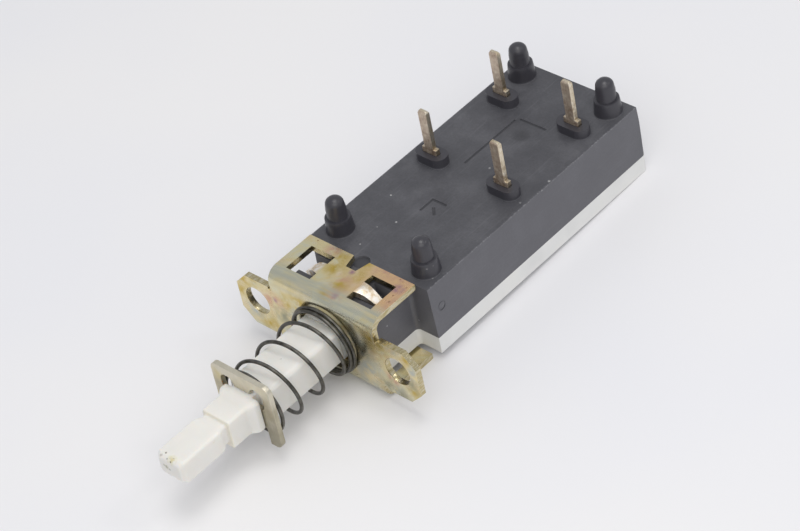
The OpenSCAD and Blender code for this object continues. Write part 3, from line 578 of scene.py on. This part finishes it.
def makePlungerMaterial():
    # acetal, moulded and bare: warm ivory with a waxy skin that lets light in, and a little dirt from handling
    look = plungerLook
    material, tree, shader, place = startMaterial("ivoryAcetal")
    cloud = addNode(tree, "ShaderNodeTexNoise", inputs={
        "Vector": place, "Scale": perSize(look["cloud"]), "Detail": 4.0})
    colour = addNode(tree, "ShaderNodeValToRGB", inputs={"Fac": cloud.outputs["Fac"]},
                     stops=look["shades"]).outputs["Color"]
    spot = addNode(tree, "ShaderNodeSeparateXYZ", inputs={0: place})
    lineY, reach, strength, yellow = look["waist"]
    along = addNode(tree, "ShaderNodeMath", {"operation": "SUBTRACT"}, {0: spot.outputs["Y"], 1: lineY * mm})
    away = addNode(tree, "ShaderNodeMath", {"operation": "ABSOLUTE"}, {0: along.outputs[0]})
    line = addNode(tree, "ShaderNodeMapRange", inputs={
        "Value": away.outputs[0], "From Min": reach * mm, "From Max": 0.0, "To Min": 0.0, "To Max": strength})
    colour = blendColour(tree, line.outputs[0], colour, yellow)
    for kind in ("smudges", "grime", "dirt"):
        tone, soft, ragged, spots = look[kind]
        colour = blendColour(tree, marks(tree, place, spots, soft, ragged), colour, tone)
    tree.links.new(colour, shader.inputs["Base Color"])
    shader.inputs["Specular IOR Level"].default_value = look["shine"]
    shader.inputs["Roughness"].default_value = look["roughness"]
    shader.inputs["IOR"].default_value = 1.48
    share, reach = look["glow"]
    shader.inputs["Subsurface Weight"].default_value = share
    shader.inputs["Subsurface Radius"].default_value = (1.0, 0.85, 0.7)
    shader.inputs["Subsurface Scale"].default_value = reach * mm
    size, strength = look["ripple"]
    ripple = addNode(tree, "ShaderNodeTexNoise", inputs={"Vector": place, "Scale": perSize(size), "Detail": 4.0})
    bump = addNode(tree, "ShaderNodeBump", inputs={
        "Height": ripple.outputs["Fac"], "Strength": strength, "Distance": 0.06 * mm})
    tree.links.new(bump.outputs[0], shader.inputs["Normal"])
    return material


bracketLook = {
    "sheet": 0.7,  # mm
    "bend": 1.5,  # mm, outside
    "shades": [(0.3, "#d8d9ce"), (0.43, "#e8e1bd"), (0.53, "#eadba9"), (0.63, "#f1e3bd"), (0.76, "#e4e3d7")],
    "tint": 3.2,  # mm
    "bloom": (2.1, 0.3, "#e0b394"),  # mm, strength
    "orange": ((-2.0, 4.5), (0.8, 3.0), 0.9, "#f2c795"),  # where it grows across and along in mm, strength
    "streak": (5.0, 0.5),  # mm along and across the bend
    # the painted highlight along the fold: how far its middle is behind the front and under the top, where it is
    # full and ends, in mm
    "foldHighlight": (0.6, 0.2, 0.7, 2.0, "#cbcbb9"),
    "front": (0.3, 0.1),  # painted shade on the plate's front face: mm behind the front, and how much darker that is
    "roughness": (0.19, 0.3, 0.2),  # least, most, and how much the tongues add
    "fleck": (0.25, 0.05, 0.5),  # mm, strength on the film and on cut faces
    "cut": [(0.3, "#b3a374"), (0.5, "#c9be99"), (0.68, "#d9d0b8")],
    "shear": (0.22, 0.9),  # mm across and along
    "tongue": (2.55, 5.7, 2.55, 4.42),  # mm: the tongues' place across and along
    # painted highlight on the bent tongues: its shades, and the size of its mottle in mm
    "tongueHighlightShades": [(0.36, "#ddc6a4"), (0.48, "#f1e6d5"), (0.6, "#fbf6f0")],
    "tongueMottle": 0.6,  # mm
    # marks: colour, full part, ragged edge in mm, and each mark's place and radius in mm
    # grey patches in the film; the first two, beside the coil, are a painted reflection of the white plunger
    "greyFilmAndReflection": ("#c6cac2", 0.1, 1.2, [
        (5.4, 0.0, -1.8, 3.0), (4.8, 0.0, 1.7, 2.2), (9.3, 0.0, -3.3, 2.4), (12.2, 0.0, 0.8, 1.7),
        (10.6, 0.0, -4.4, 1.8), (10.0, 0.0, 3.2, 1.3), (-4.3, 0.0, 0.6, 1.6), (-10.8, 0.0, -1.8, 1.8),
        (5.2, 0.0, -4.4, 2.4), (-12.2, 0.0, 2.6, 1.1),
    ]),
    "olive": ("#cfb354", 0.1, 1.4, [
        (-2.1, 5.7, 5.3, 1.9), (11.6, 0.0, 2.3, 0.9), (7.0, 0.0, 2.9, 1.6), (-10.2, 0.0, 2.9, 1.3),
        (-12.2, 0.0, 0.4, 1.3), (-8.4, 0.0, -2.4, 1.4), (0.2, 1.0, 5.2, 1.2), (-1.4, 4.2, 5.3, 1.8),
        (0.8, 2.6, 5.3, 1.5), (1.5, 4.6, 5.3, 1.3), (-11.6, 0.0, 2.2, 1.6), (-9.0, 0.0, -2.6, 1.9),
        (7.5, 0.0, 2.4, 2.0), (7.4, 0.0, -3.6, 1.2), (7.9, 0.0, -4.5, 1.3), (10.8, 0.0, 1.6, 0.9),
        (11.9, 0.0, -2.0, 1.1), (-3.0, 0.0, 2.8, 2.2), (-5.4, 0.0, 2.0, 1.5), (1.0, 6.3, 5.3, 1.3),
    ]),
    "pink": ("#dfb598", 0.1, 1.1, [
        (8.5, 0.0, 0.9, 0.9), (9.3, 0.0, -1.75, 0.8), (6.3, 5.4, 5.3, 1.7), (5.9, 6.3, 5.3, 1.8),
        (1.4, 1.3, 5.3, 1.6), (0.6, 3.2, 5.3, 1.4), (7.3, 3.4, 5.3, 1.6), (-7.1, 0.0, 1.5, 1.5),
        (-8.0, 0.0, 1.2, 1.4), (3.4, 6.6, 5.3, 1.6), (-3.5, 6.3, 5.3, 1.4), (8.6, 0.0, -1.4, 0.9),
    ]),
    "violet": ("#b78f9b", 0.1, 0.8, [
        (6.38, 5.39, 5.3, 0.95), (0.5, 4.78, 5.3, 0.5), (-7.2, 0.0, 1.4, 0.6), (1.4, 1.2, 5.3, 0.6),
    ]),
    "dull": ("#a8a68c", 0.1, 1.6, [
        (8.3, 0.0, -3.2, 2.2), (9.8, 0.0, -3.5, 1.6), (-6.2, 0.0, -0.4, 1.7), (5.6, 0.0, 0.9, 1.6),
        (11.8, 0.0, -1.2, 1.5),
    ]),
    # painted shade on the lower tongue behind the ear
    "shade": ("#827d6c", 0.4, 1.6, [
        (5.1, 3.6, -4.7, 1.7), (4.2, 3.6, -5.2, 1.6),
    ]),
    "rust": ("#9a6a4a", 0.3, 0.3, [
        (6.11, 6.45, 5.3, 0.16), (6.9, 3.5, 5.3, 0.2), (5.6, 6.6, 5.3, 0.13), (7.0, 6.0, 5.3, 0.14),
        (6.6, 4.4, 5.3, 0.12), (-6.0, 6.5, 5.3, 0.12),
    ]),
}


def makeBracketMaterial():
    # steel sheet, zinc plated and yellow passivated, then stamped and folded: a dull straw film that turns
    # olive, pink and violet where it is thicker, and bright at cut edges; painted light on it: a greyer
    # highlight along the fold, a reflection of the white plunger beside the coil, shade on the plate's front and
    # on the lower tongue, and a near-white highlight on the tongues
    look = bracketLook
    material, tree, shader, place = startMaterial("yellowPassivatedZinc")
    spot = addNode(tree, "ShaderNodeSeparateXYZ", inputs={0: place})
    film = addNode(tree, "ShaderNodeTexNoise", inputs={
        "Vector": place, "Scale": perSize(look["tint"]), "Detail": 5.0, "Roughness": 0.58, "Distortion": 0.8})
    colour = addNode(tree, "ShaderNodeValToRGB", inputs={"Fac": film.outputs["Fac"]},
                     stops=look["shades"]).outputs["Color"]
    size, strength, tone = look["bloom"]
    bloom = addNode(tree, "ShaderNodeTexNoise", inputs={
        "Vector": place, "Scale": perSize(size), "Detail": 3.0, "Distortion": 0.5})
    warm = addNode(tree, "ShaderNodeMapRange", inputs={
        "Value": bloom.outputs["Fac"], "From Min": 0.55, "From Max": 0.75, "To Min": 0.0, "To Max": strength})
    colour = blendColour(tree, warm.outputs[0], colour, tone)
    (fromX, toX), (fromY, toY), strength, tone = look["orange"]
    rightward = addNode(tree, "ShaderNodeMapRange", inputs={
        "Value": spot.outputs["X"], "From Min": fromX * mm, "From Max": toX * mm})
    rearward = addNode(tree, "ShaderNodeMapRange", inputs={
        "Value": spot.outputs["Y"], "From Min": fromY * mm, "From Max": toY * mm,
        "To Min": 0.0, "To Max": strength})
    upper = addNode(tree, "ShaderNodeMath", {"operation": "GREATER_THAN"}, {0: spot.outputs["Z"], 1: 0.0})
    orange = rightward
    for limit in (rearward, upper):
        orange = addNode(tree, "ShaderNodeMath", {"operation": "MULTIPLY"},
                         {0: orange.outputs[0], 1: limit.outputs[0]})
    colour = blendColour(tree, orange.outputs[0], colour, tone)
    for kind in ("greyFilmAndReflection", "olive", "pink", "violet"):
        tone, soft, ragged, spots = look[kind]
        colour = blendColour(tree, marks(tree, place, spots, soft, ragged), colour, tone)
    # the fold: a painted highlight, greyer, with streaks along it
    along, across = look["streak"]
    stretched = addNode(tree, "ShaderNodeMapping", inputs={
        "Vector": place, "Scale": (perSize(along), perSize(across), perSize(across))})
    streak = addNode(tree, "ShaderNodeTexNoise", inputs={
        "Vector": stretched.outputs[0], "Scale": 1.0, "Detail": 4.0})
    level = addNode(tree, "ShaderNodeMath", {"operation": "ABSOLUTE"}, {0: spot.outputs["Z"]})
    flat = addNode(tree, "ShaderNodeCombineXYZ", inputs={"Y": spot.outputs["Y"], "Z": level.outputs[0]})
    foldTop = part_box("bracket")[1].z
    behind, under, full, end, tone = look["foldHighlight"]
    away = addNode(tree, "ShaderNodeVectorMath", {"operation": "DISTANCE"},
                   {0: flat.outputs[0], 1: (0, behind * mm, foldTop - under * mm)})
    nearFold = addNode(tree, "ShaderNodeMapRange", inputs={
        "Value": away.outputs["Value"], "From Min": end * mm, "From Max": full * mm})
    banded = addNode(tree, "ShaderNodeMapRange", inputs={
        "Value": streak.outputs["Fac"], "From Min": 0.35, "From Max": 0.6, "To Min": 0.2, "To Max": 0.95})
    foldHighlight = addNode(tree, "ShaderNodeMath", {"operation": "MULTIPLY"},
                   {0: nearFold.outputs[0], 1: banded.outputs[0]})
    colour = blendColour(tree, foldHighlight.outputs[0], colour, tone)
    # dull patches, painted shade on the lower tongue, and rust
    for kind in ("dull", "shade", "rust"):
        tone, soft, ragged, spots = look[kind]
        colour = blendColour(tree, marks(tree, place, spots, soft, ragged), colour, tone)
    # painted shade on the plate's front face
    behind, darker = look["front"]
    front = addNode(tree, "ShaderNodeMapRange", inputs={
        "Value": spot.outputs["Y"], "From Min": behind * mm, "From Max": 0.0, "To Min": 0.0, "To Max": darker})
    colour = blendColour(tree, front.outputs[0], colour, "#000000")
    # cut faces: what faces sideways on the plate and on the flanges
    facing = addNode(tree, "ShaderNodeNewGeometry")
    turned = addNode(tree, "ShaderNodeVectorMath", {"operation": "ABSOLUTE"}, {0: facing.outputs["True Normal"]})
    turn = addNode(tree, "ShaderNodeSeparateXYZ", inputs={0: turned.outputs[0]})
    sides = addNode(tree, "ShaderNodeMath", {"operation": "GREATER_THAN"}, {0: turn.outputs["X"], 1: 0.75})
    onPlate = addNode(tree, "ShaderNodeMath", {"operation": "LESS_THAN"},
                      {0: spot.outputs["Y"], 1: (look["sheet"] + 0.01) * mm})
    onFlange = addNode(tree, "ShaderNodeMath", {"operation": "GREATER_THAN"},
                       {0: spot.outputs["Y"], 1: (look["bend"] + 0.05) * mm})
    inPlate = addNode(tree, "ShaderNodeMath", {"operation": "LESS_THAN"}, {0: turn.outputs["Y"], 1: 0.5})
    inFlange = addNode(tree, "ShaderNodeMath", {"operation": "LESS_THAN"}, {0: turn.outputs["Z"], 1: 0.3})
    lowEnough = addNode(tree, "ShaderNodeMath", {"operation": "LESS_THAN"},
                        {0: level.outputs[0], 1: foldTop - (look["bend"] + 0.05) * mm})
    plateCut = onPlate
    for limit in (inPlate, lowEnough):
        plateCut = addNode(tree, "ShaderNodeMath", {"operation": "MULTIPLY"},
                           {0: plateCut.outputs[0], 1: limit.outputs[0]})
    flangeCut = addNode(tree, "ShaderNodeMath", {"operation": "MULTIPLY"},
                        {0: onFlange.outputs[0], 1: inFlange.outputs[0]})
    cut = sides
    for other in (plateCut, flangeCut):
        cut = addNode(tree, "ShaderNodeMath", {"operation": "MAXIMUM"}, {0: cut.outputs[0], 1: other.outputs[0]})
    narrow, long = look["shear"]
    drawn = addNode(tree, "ShaderNodeMapping", inputs={
        "Vector": place, "Scale": (perSize(narrow), perSize(long), perSize(narrow))})
    shear = addNode(tree, "ShaderNodeTexNoise", inputs={"Vector": drawn.outputs[0], "Scale": 1.0, "Detail": 4.0})
    sheared = addNode(tree, "ShaderNodeValToRGB", inputs={"Fac": shear.outputs["Fac"]}, stops=look["cut"])
    colour = blendColour(tree, cut.outputs[0], colour, sheared.outputs["Color"])
    # tongues: a painted highlight where they are bent, nearly white and mottled
    sideways = addNode(tree, "ShaderNodeMath", {"operation": "ABSOLUTE"}, {0: spot.outputs["X"]})
    fromX, toX, fromY, toY = look["tongue"]
    past = addNode(tree, "ShaderNodeMapRange", inputs={
        "Value": sideways.outputs[0], "From Min": fromX * mm, "From Max": (fromX + 0.5) * mm})
    before = addNode(tree, "ShaderNodeMath", {"operation": "LESS_THAN"},
                     {0: sideways.outputs[0], 1: toX * mm})
    rearOf = addNode(tree, "ShaderNodeMath", {"operation": "GREATER_THAN"},
                     {0: spot.outputs["Y"], 1: fromY * mm})
    frontOf = addNode(tree, "ShaderNodeMath", {"operation": "LESS_THAN"},
                      {0: spot.outputs["Y"], 1: toY * mm})
    tongueHighlightMask = past
    for limit in (before, rearOf, frontOf, upper):
        tongueHighlightMask = addNode(tree, "ShaderNodeMath", {"operation": "MULTIPLY"},
                       {0: tongueHighlightMask.outputs[0], 1: limit.outputs[0]})
    tongueMottle = addNode(tree, "ShaderNodeTexNoise", inputs={
        "Vector": place, "Scale": perSize(look["tongueMottle"]), "Detail": 5.0})
    tongueHighlightShades = addNode(tree, "ShaderNodeValToRGB", inputs={"Fac": tongueMottle.outputs["Fac"]}, stops=look["tongueHighlightShades"])
    colour = blendColour(tree, tongueHighlightMask.outputs[0], colour, tongueHighlightShades.outputs["Color"])
    tree.links.new(colour, shader.inputs["Base Color"])
    shader.inputs["Metallic"].default_value = 1.0
    low, high, extra = look["roughness"]
    dull = addNode(tree, "ShaderNodeMapRange", inputs={
        "Value": bloom.outputs["Fac"], "From Min": 0.3, "From Max": 0.7, "To Min": low, "To Max": high})
    rougher = addNode(tree, "ShaderNodeMath", {"operation": "MULTIPLY_ADD"},
                      {0: tongueHighlightMask.outputs[0], 1: extra, 2: dull.outputs[0]})
    tree.links.new(rougher.outputs[0], shader.inputs["Roughness"])
    size, filmBump, cutBump = look["fleck"]
    fleck = addNode(tree, "ShaderNodeTexNoise", inputs={"Vector": place, "Scale": perSize(size), "Detail": 4.0})
    depth = addNode(tree, "ShaderNodeMapRange", inputs={
        "Value": cut.outputs[0], "To Min": filmBump, "To Max": cutBump})
    bump = addNode(tree, "ShaderNodeBump", inputs={
        "Height": fleck.outputs["Fac"], "Strength": depth.outputs[0], "Distance": 0.04 * mm})
    tree.links.new(bump.outputs[0], shader.inputs["Normal"])
    return material


keeperLook = {
    "shades": [(0.32, "#b3ac97"), (0.5, "#c2bba7"), (0.7, "#d2cdbe")],
    "brush": (0.12, 3.0),  # mm across and along
    "brushed": (0.84, 1.12),  # darkest and palest line
    "cloud": 1.6,  # mm
    "roughness": (0.34, 0.5),
    # what changes with the height: where it starts and is full in mm, strength, colour
    # painted reflection: the top bridge is made paler
    "wearAndTopLight": (1.5, 3.0, 0.5, "#ebe5d4"),
    "darkened": (0.5, -3.5, 0.55, "#8f8a76"),
    # marks: colour, full part, ragged edge in mm, and each mark's place and radius in mm
    "yellow": ("#cfc295", 0.1, 1.2, [(-3.6, -12.0, -0.2, 1.8), (-3.4, -12.0, 2.6, 1.2)]),
}


def makeKeeperMaterial():
    # steel strip, dull nickel plated: greyish straw, brushed up and down, with a painted reflection that makes
    # the top bridge paler, and darker towards the bottom
    look = keeperLook
    material, tree, shader, place = startMaterial("dullNickelledStrip")
    across, along = look["brush"]
    stretched = addNode(tree, "ShaderNodeMapping", inputs={
        "Vector": place, "Scale": (perSize(across), perSize(across), perSize(along))})
    brush = addNode(tree, "ShaderNodeTexNoise", inputs={
        "Vector": stretched.outputs[0], "Scale": 1.0, "Detail": 4.0})
    cloud = addNode(tree, "ShaderNodeTexNoise", inputs={
        "Vector": place, "Scale": perSize(look["cloud"]), "Detail": 4.0})
    colour = addNode(tree, "ShaderNodeValToRGB", inputs={"Fac": cloud.outputs["Fac"]},
                     stops=look["shades"]).outputs["Color"]
    darkest, palest = look["brushed"]
    lines = addNode(tree, "ShaderNodeMapRange", inputs={
        "Value": brush.outputs["Fac"], "From Min": 0.3, "From Max": 0.7, "To Min": darkest, "To Max": palest})
    colour = addNode(tree, "ShaderNodeVectorMath", {"operation": "SCALE"},
                     {0: colour, "Scale": lines.outputs[0]}).outputs[0]
    spot = addNode(tree, "ShaderNodeSeparateXYZ", inputs={0: place})
    # the top bridge paler as painted reflection, and darker towards the bottom
    for kind in ("wearAndTopLight", "darkened"):
        start, full, strength, tone = look[kind]
        share = addNode(tree, "ShaderNodeMapRange", inputs={
            "Value": spot.outputs["Z"], "From Min": start * mm, "From Max": full * mm,
            "To Min": 0.0, "To Max": strength})
        colour = blendColour(tree, share.outputs[0], colour, tone)
    tone, soft, ragged, spots = look["yellow"]
    colour = blendColour(tree, marks(tree, place, spots, soft, ragged), colour, tone)
    tree.links.new(colour, shader.inputs["Base Color"])
    shader.inputs["Metallic"].default_value = 1.0
    low, high = look["roughness"]
    dull = addNode(tree, "ShaderNodeMapRange", inputs={
        "Value": brush.outputs["Fac"], "From Min": 0.3, "From Max": 0.7, "To Min": low, "To Max": high})
    tree.links.new(dull.outputs[0], shader.inputs["Roughness"])
    bump = addNode(tree, "ShaderNodeBump", inputs={
        "Height": brush.outputs["Fac"], "Strength": 0.25, "Distance": 0.03 * mm})
    tree.links.new(bump.outputs[0], shader.inputs["Normal"])
    return material


terminalLook = {
    "faces": [(0.3, "#a28c79"), (0.46, "#bfac99"), (0.6, "#cfc0ac"), (0.76, "#e6dcca")],
    "cutEdges": [(0.28, "#b0987a"), (0.42, "#d3c5aa"), (0.58, "#e3d8c3"), (0.76, "#f1eadd")],
    "tarnish": 0.7,  # mm
    # the brown of the roots: the heights in mm between which it fades, strength, colour
    "burn": (6.0, 9.0, 0.45, "#6d543f"),
    "grain": (0.1, 1.6),  # mm across and along
    "rolled": (0.88, 1.1),  # darkest and palest line
    "film": (0.6, 1.0),  # how metallic the tarnished faces and the cut edges are
    "roughness": (0.28, 0.46),
}


def makeTerminalMaterial():
    # brass strip, tinned before stamping: the rolled faces have tarnished brown, the cut faces stay pale
    look = terminalLook
    material, tree, shader, place = startMaterial("tinnedBrass")
    facing = addNode(tree, "ShaderNodeNewGeometry")
    turned = addNode(tree, "ShaderNodeVectorMath", {"operation": "ABSOLUTE"}, {0: facing.outputs["True Normal"]})
    turn = addNode(tree, "ShaderNodeSeparateXYZ", inputs={0: turned.outputs[0]})
    cut = addNode(tree, "ShaderNodeMapRange", inputs={
        "Value": turn.outputs["Y"], "From Min": 0.85, "From Max": 0.55})
    tarnish = addNode(tree, "ShaderNodeTexNoise", inputs={
        "Vector": place, "Scale": perSize(look["tarnish"]), "Detail": 6.0, "Roughness": 0.68})
    face = addNode(tree, "ShaderNodeValToRGB", inputs={"Fac": tarnish.outputs["Fac"]},
                   stops=look["faces"])
    edge = addNode(tree, "ShaderNodeValToRGB", inputs={"Fac": tarnish.outputs["Fac"]},
                   stops=look["cutEdges"])
    colour = blendColour(tree, cut.outputs[0], face.outputs["Color"], edge.outputs["Color"])
    height = addNode(tree, "ShaderNodeSeparateXYZ", inputs={0: place})
    fromZ, toZ, strength, tone = look["burn"]
    burnt = addNode(tree, "ShaderNodeMapRange", inputs={
        "Value": height.outputs["Z"], "From Min": toZ * mm, "From Max": fromZ * mm,
        "To Min": 0.0, "To Max": strength})
    patchy = addNode(tree, "ShaderNodeMapRange", inputs={
        "Value": tarnish.outputs["Fac"], "From Min": 0.62, "From Max": 0.42})
    burn = addNode(tree, "ShaderNodeMath", {"operation": "MULTIPLY"},
                   {0: burnt.outputs[0], 1: patchy.outputs[0]})
    colour = blendColour(tree, burn.outputs[0], colour, tone)
    across, along = look["grain"]
    stretched = addNode(tree, "ShaderNodeMapping", inputs={
        "Vector": place, "Scale": (perSize(across), perSize(across), perSize(along))})
    grain = addNode(tree, "ShaderNodeTexNoise", inputs={
        "Vector": stretched.outputs[0], "Scale": 1.0, "Detail": 3.0})
    darkest, palest = look["rolled"]
    lines = addNode(tree, "ShaderNodeMapRange", inputs={
        "Value": grain.outputs["Fac"], "From Min": 0.3, "From Max": 0.7, "To Min": darkest, "To Max": palest})
    colour = addNode(tree, "ShaderNodeVectorMath", {"operation": "SCALE"},
                     {0: colour, "Scale": lines.outputs[0]}).outputs[0]
    tree.links.new(colour, shader.inputs["Base Color"])
    tarnished, bright = look["film"]
    film = addNode(tree, "ShaderNodeMapRange", inputs={
        "Value": cut.outputs[0], "To Min": tarnished, "To Max": bright})
    tree.links.new(film.outputs[0], shader.inputs["Metallic"])
    low, high = look["roughness"]
    dull = addNode(tree, "ShaderNodeMapRange", inputs={
        "Value": tarnish.outputs["Fac"], "From Min": 0.35, "From Max": 0.65, "To Min": high, "To Max": low})
    tree.links.new(dull.outputs[0], shader.inputs["Roughness"])
    bump = addNode(tree, "ShaderNodeBump", inputs={
        "Height": tarnish.outputs["Fac"], "Strength": 0.25, "Distance": 0.05 * mm})
    tree.links.new(bump.outputs[0], shader.inputs["Normal"])
    return material


plainMetals = {  # the return spring and the metals inside: shades, size of the variation in mm, roughness
    "oiledSpringSteel": (("#484642", "#605e59", "#76746e"), 0.8, (0.3, 0.42)),
    "drawnSteelWire": (("#b9babb", "#c8c9c9", "#d6d6d4"), 0.5, (0.2, 0.32)),
    "stainlessLeaf": (("#b4b2ac", "#c4c2bc", "#d0cec8"), 0.7, (0.24, 0.36)),
    "bareBrassStrip": (("#b98d47", "#cfa55c", "#dcb672"), 0.9, (0.24, 0.38)),
    "silverFacing": (("#cfcdc6", "#dedcd6", "#ebeae6"), 0.6, (0.18, 0.32)),
}


def makeMetal(name):
    # drawn, rolled or faced metal, as bright as its surface was left
    shades, size, (low, high) = plainMetals[name]
    material, tree, shader, place = startMaterial(name)
    cloud = addNode(tree, "ShaderNodeTexNoise", inputs={
        "Vector": place, "Scale": perSize(size), "Detail": 5.0, "Roughness": 0.6})
    tint = addNode(tree, "ShaderNodeValToRGB", inputs={"Fac": cloud.outputs["Fac"]},
                   stops=list(zip((0.32, 0.5, 0.7), shades)))
    tree.links.new(tint.outputs["Color"], shader.inputs["Base Color"])
    shader.inputs["Metallic"].default_value = 1.0
    dull = addNode(tree, "ShaderNodeMapRange", inputs={
        "Value": cloud.outputs["Fac"], "From Min": 0.3, "From Max": 0.7, "To Min": low, "To Max": high})
    tree.links.new(dull.outputs[0], shader.inputs["Roughness"])
    bump = addNode(tree, "ShaderNodeBump", inputs={
        "Height": cloud.outputs["Fac"], "Strength": 0.1, "Distance": 0.03 * mm})
    tree.links.new(bump.outputs[0], shader.inputs["Normal"])
    return material


capLook = {
    "shades": [(0.32, "#e2dcca"), (0.7, "#efeada")],
    "cloud": 1.2,  # mm
    "roughness": 0.38,
}


def makeCapMaterial():
    # natural acetal, moulded: milky and slick
    material, tree, shader, place = startMaterial("naturalAcetal")
    cloud = addNode(tree, "ShaderNodeTexNoise", inputs={
        "Vector": place, "Scale": perSize(capLook["cloud"]), "Detail": 4.0})
    tint = addNode(tree, "ShaderNodeValToRGB", inputs={"Fac": cloud.outputs["Fac"]}, stops=capLook["shades"])
    tree.links.new(tint.outputs["Color"], shader.inputs["Base Color"])
    shader.inputs["Roughness"].default_value = capLook["roughness"]
    shader.inputs["IOR"].default_value = 1.48
    return material


dress(nodes["cover"], makeCoverMaterial())
dress(nodes["base"], makeBaseMaterial())
dress(nodes["bracket"], makeBracketMaterial())
dress(nodes["spring_keeper"], makeKeeperMaterial())
moulded = makePlungerMaterial()
dress(plungerHead, moulded)
dress(plungerSlide, moulded)
dress(coilPiece, makeMetal("oiledSpringSteel"))
tinned, silver, steelWire = makeTerminalMaterial(), makeMetal("silverFacing"), makeMetal("drawnSteelWire")
pairs = {
    "common_terminal": tinned,
    "contact_terminal": tinned,
    "fixed_contact": silver,
    "moving_contact": silver,
    "rocker": makeMetal("bareBrassStrip"),
    "contact_cap": makeCapMaterial(),
    "contact_spring": steelWire,
}
for name, material in pairs.items():
    dress(nodes[name + "_left"], material)
    dress(nodes[name + "_right"], material)
dress(nodes["latch_pin"], steelWire)
dress(nodes["latch_spring"], makeMetal("stainlessLeaf"))
print("materials made")
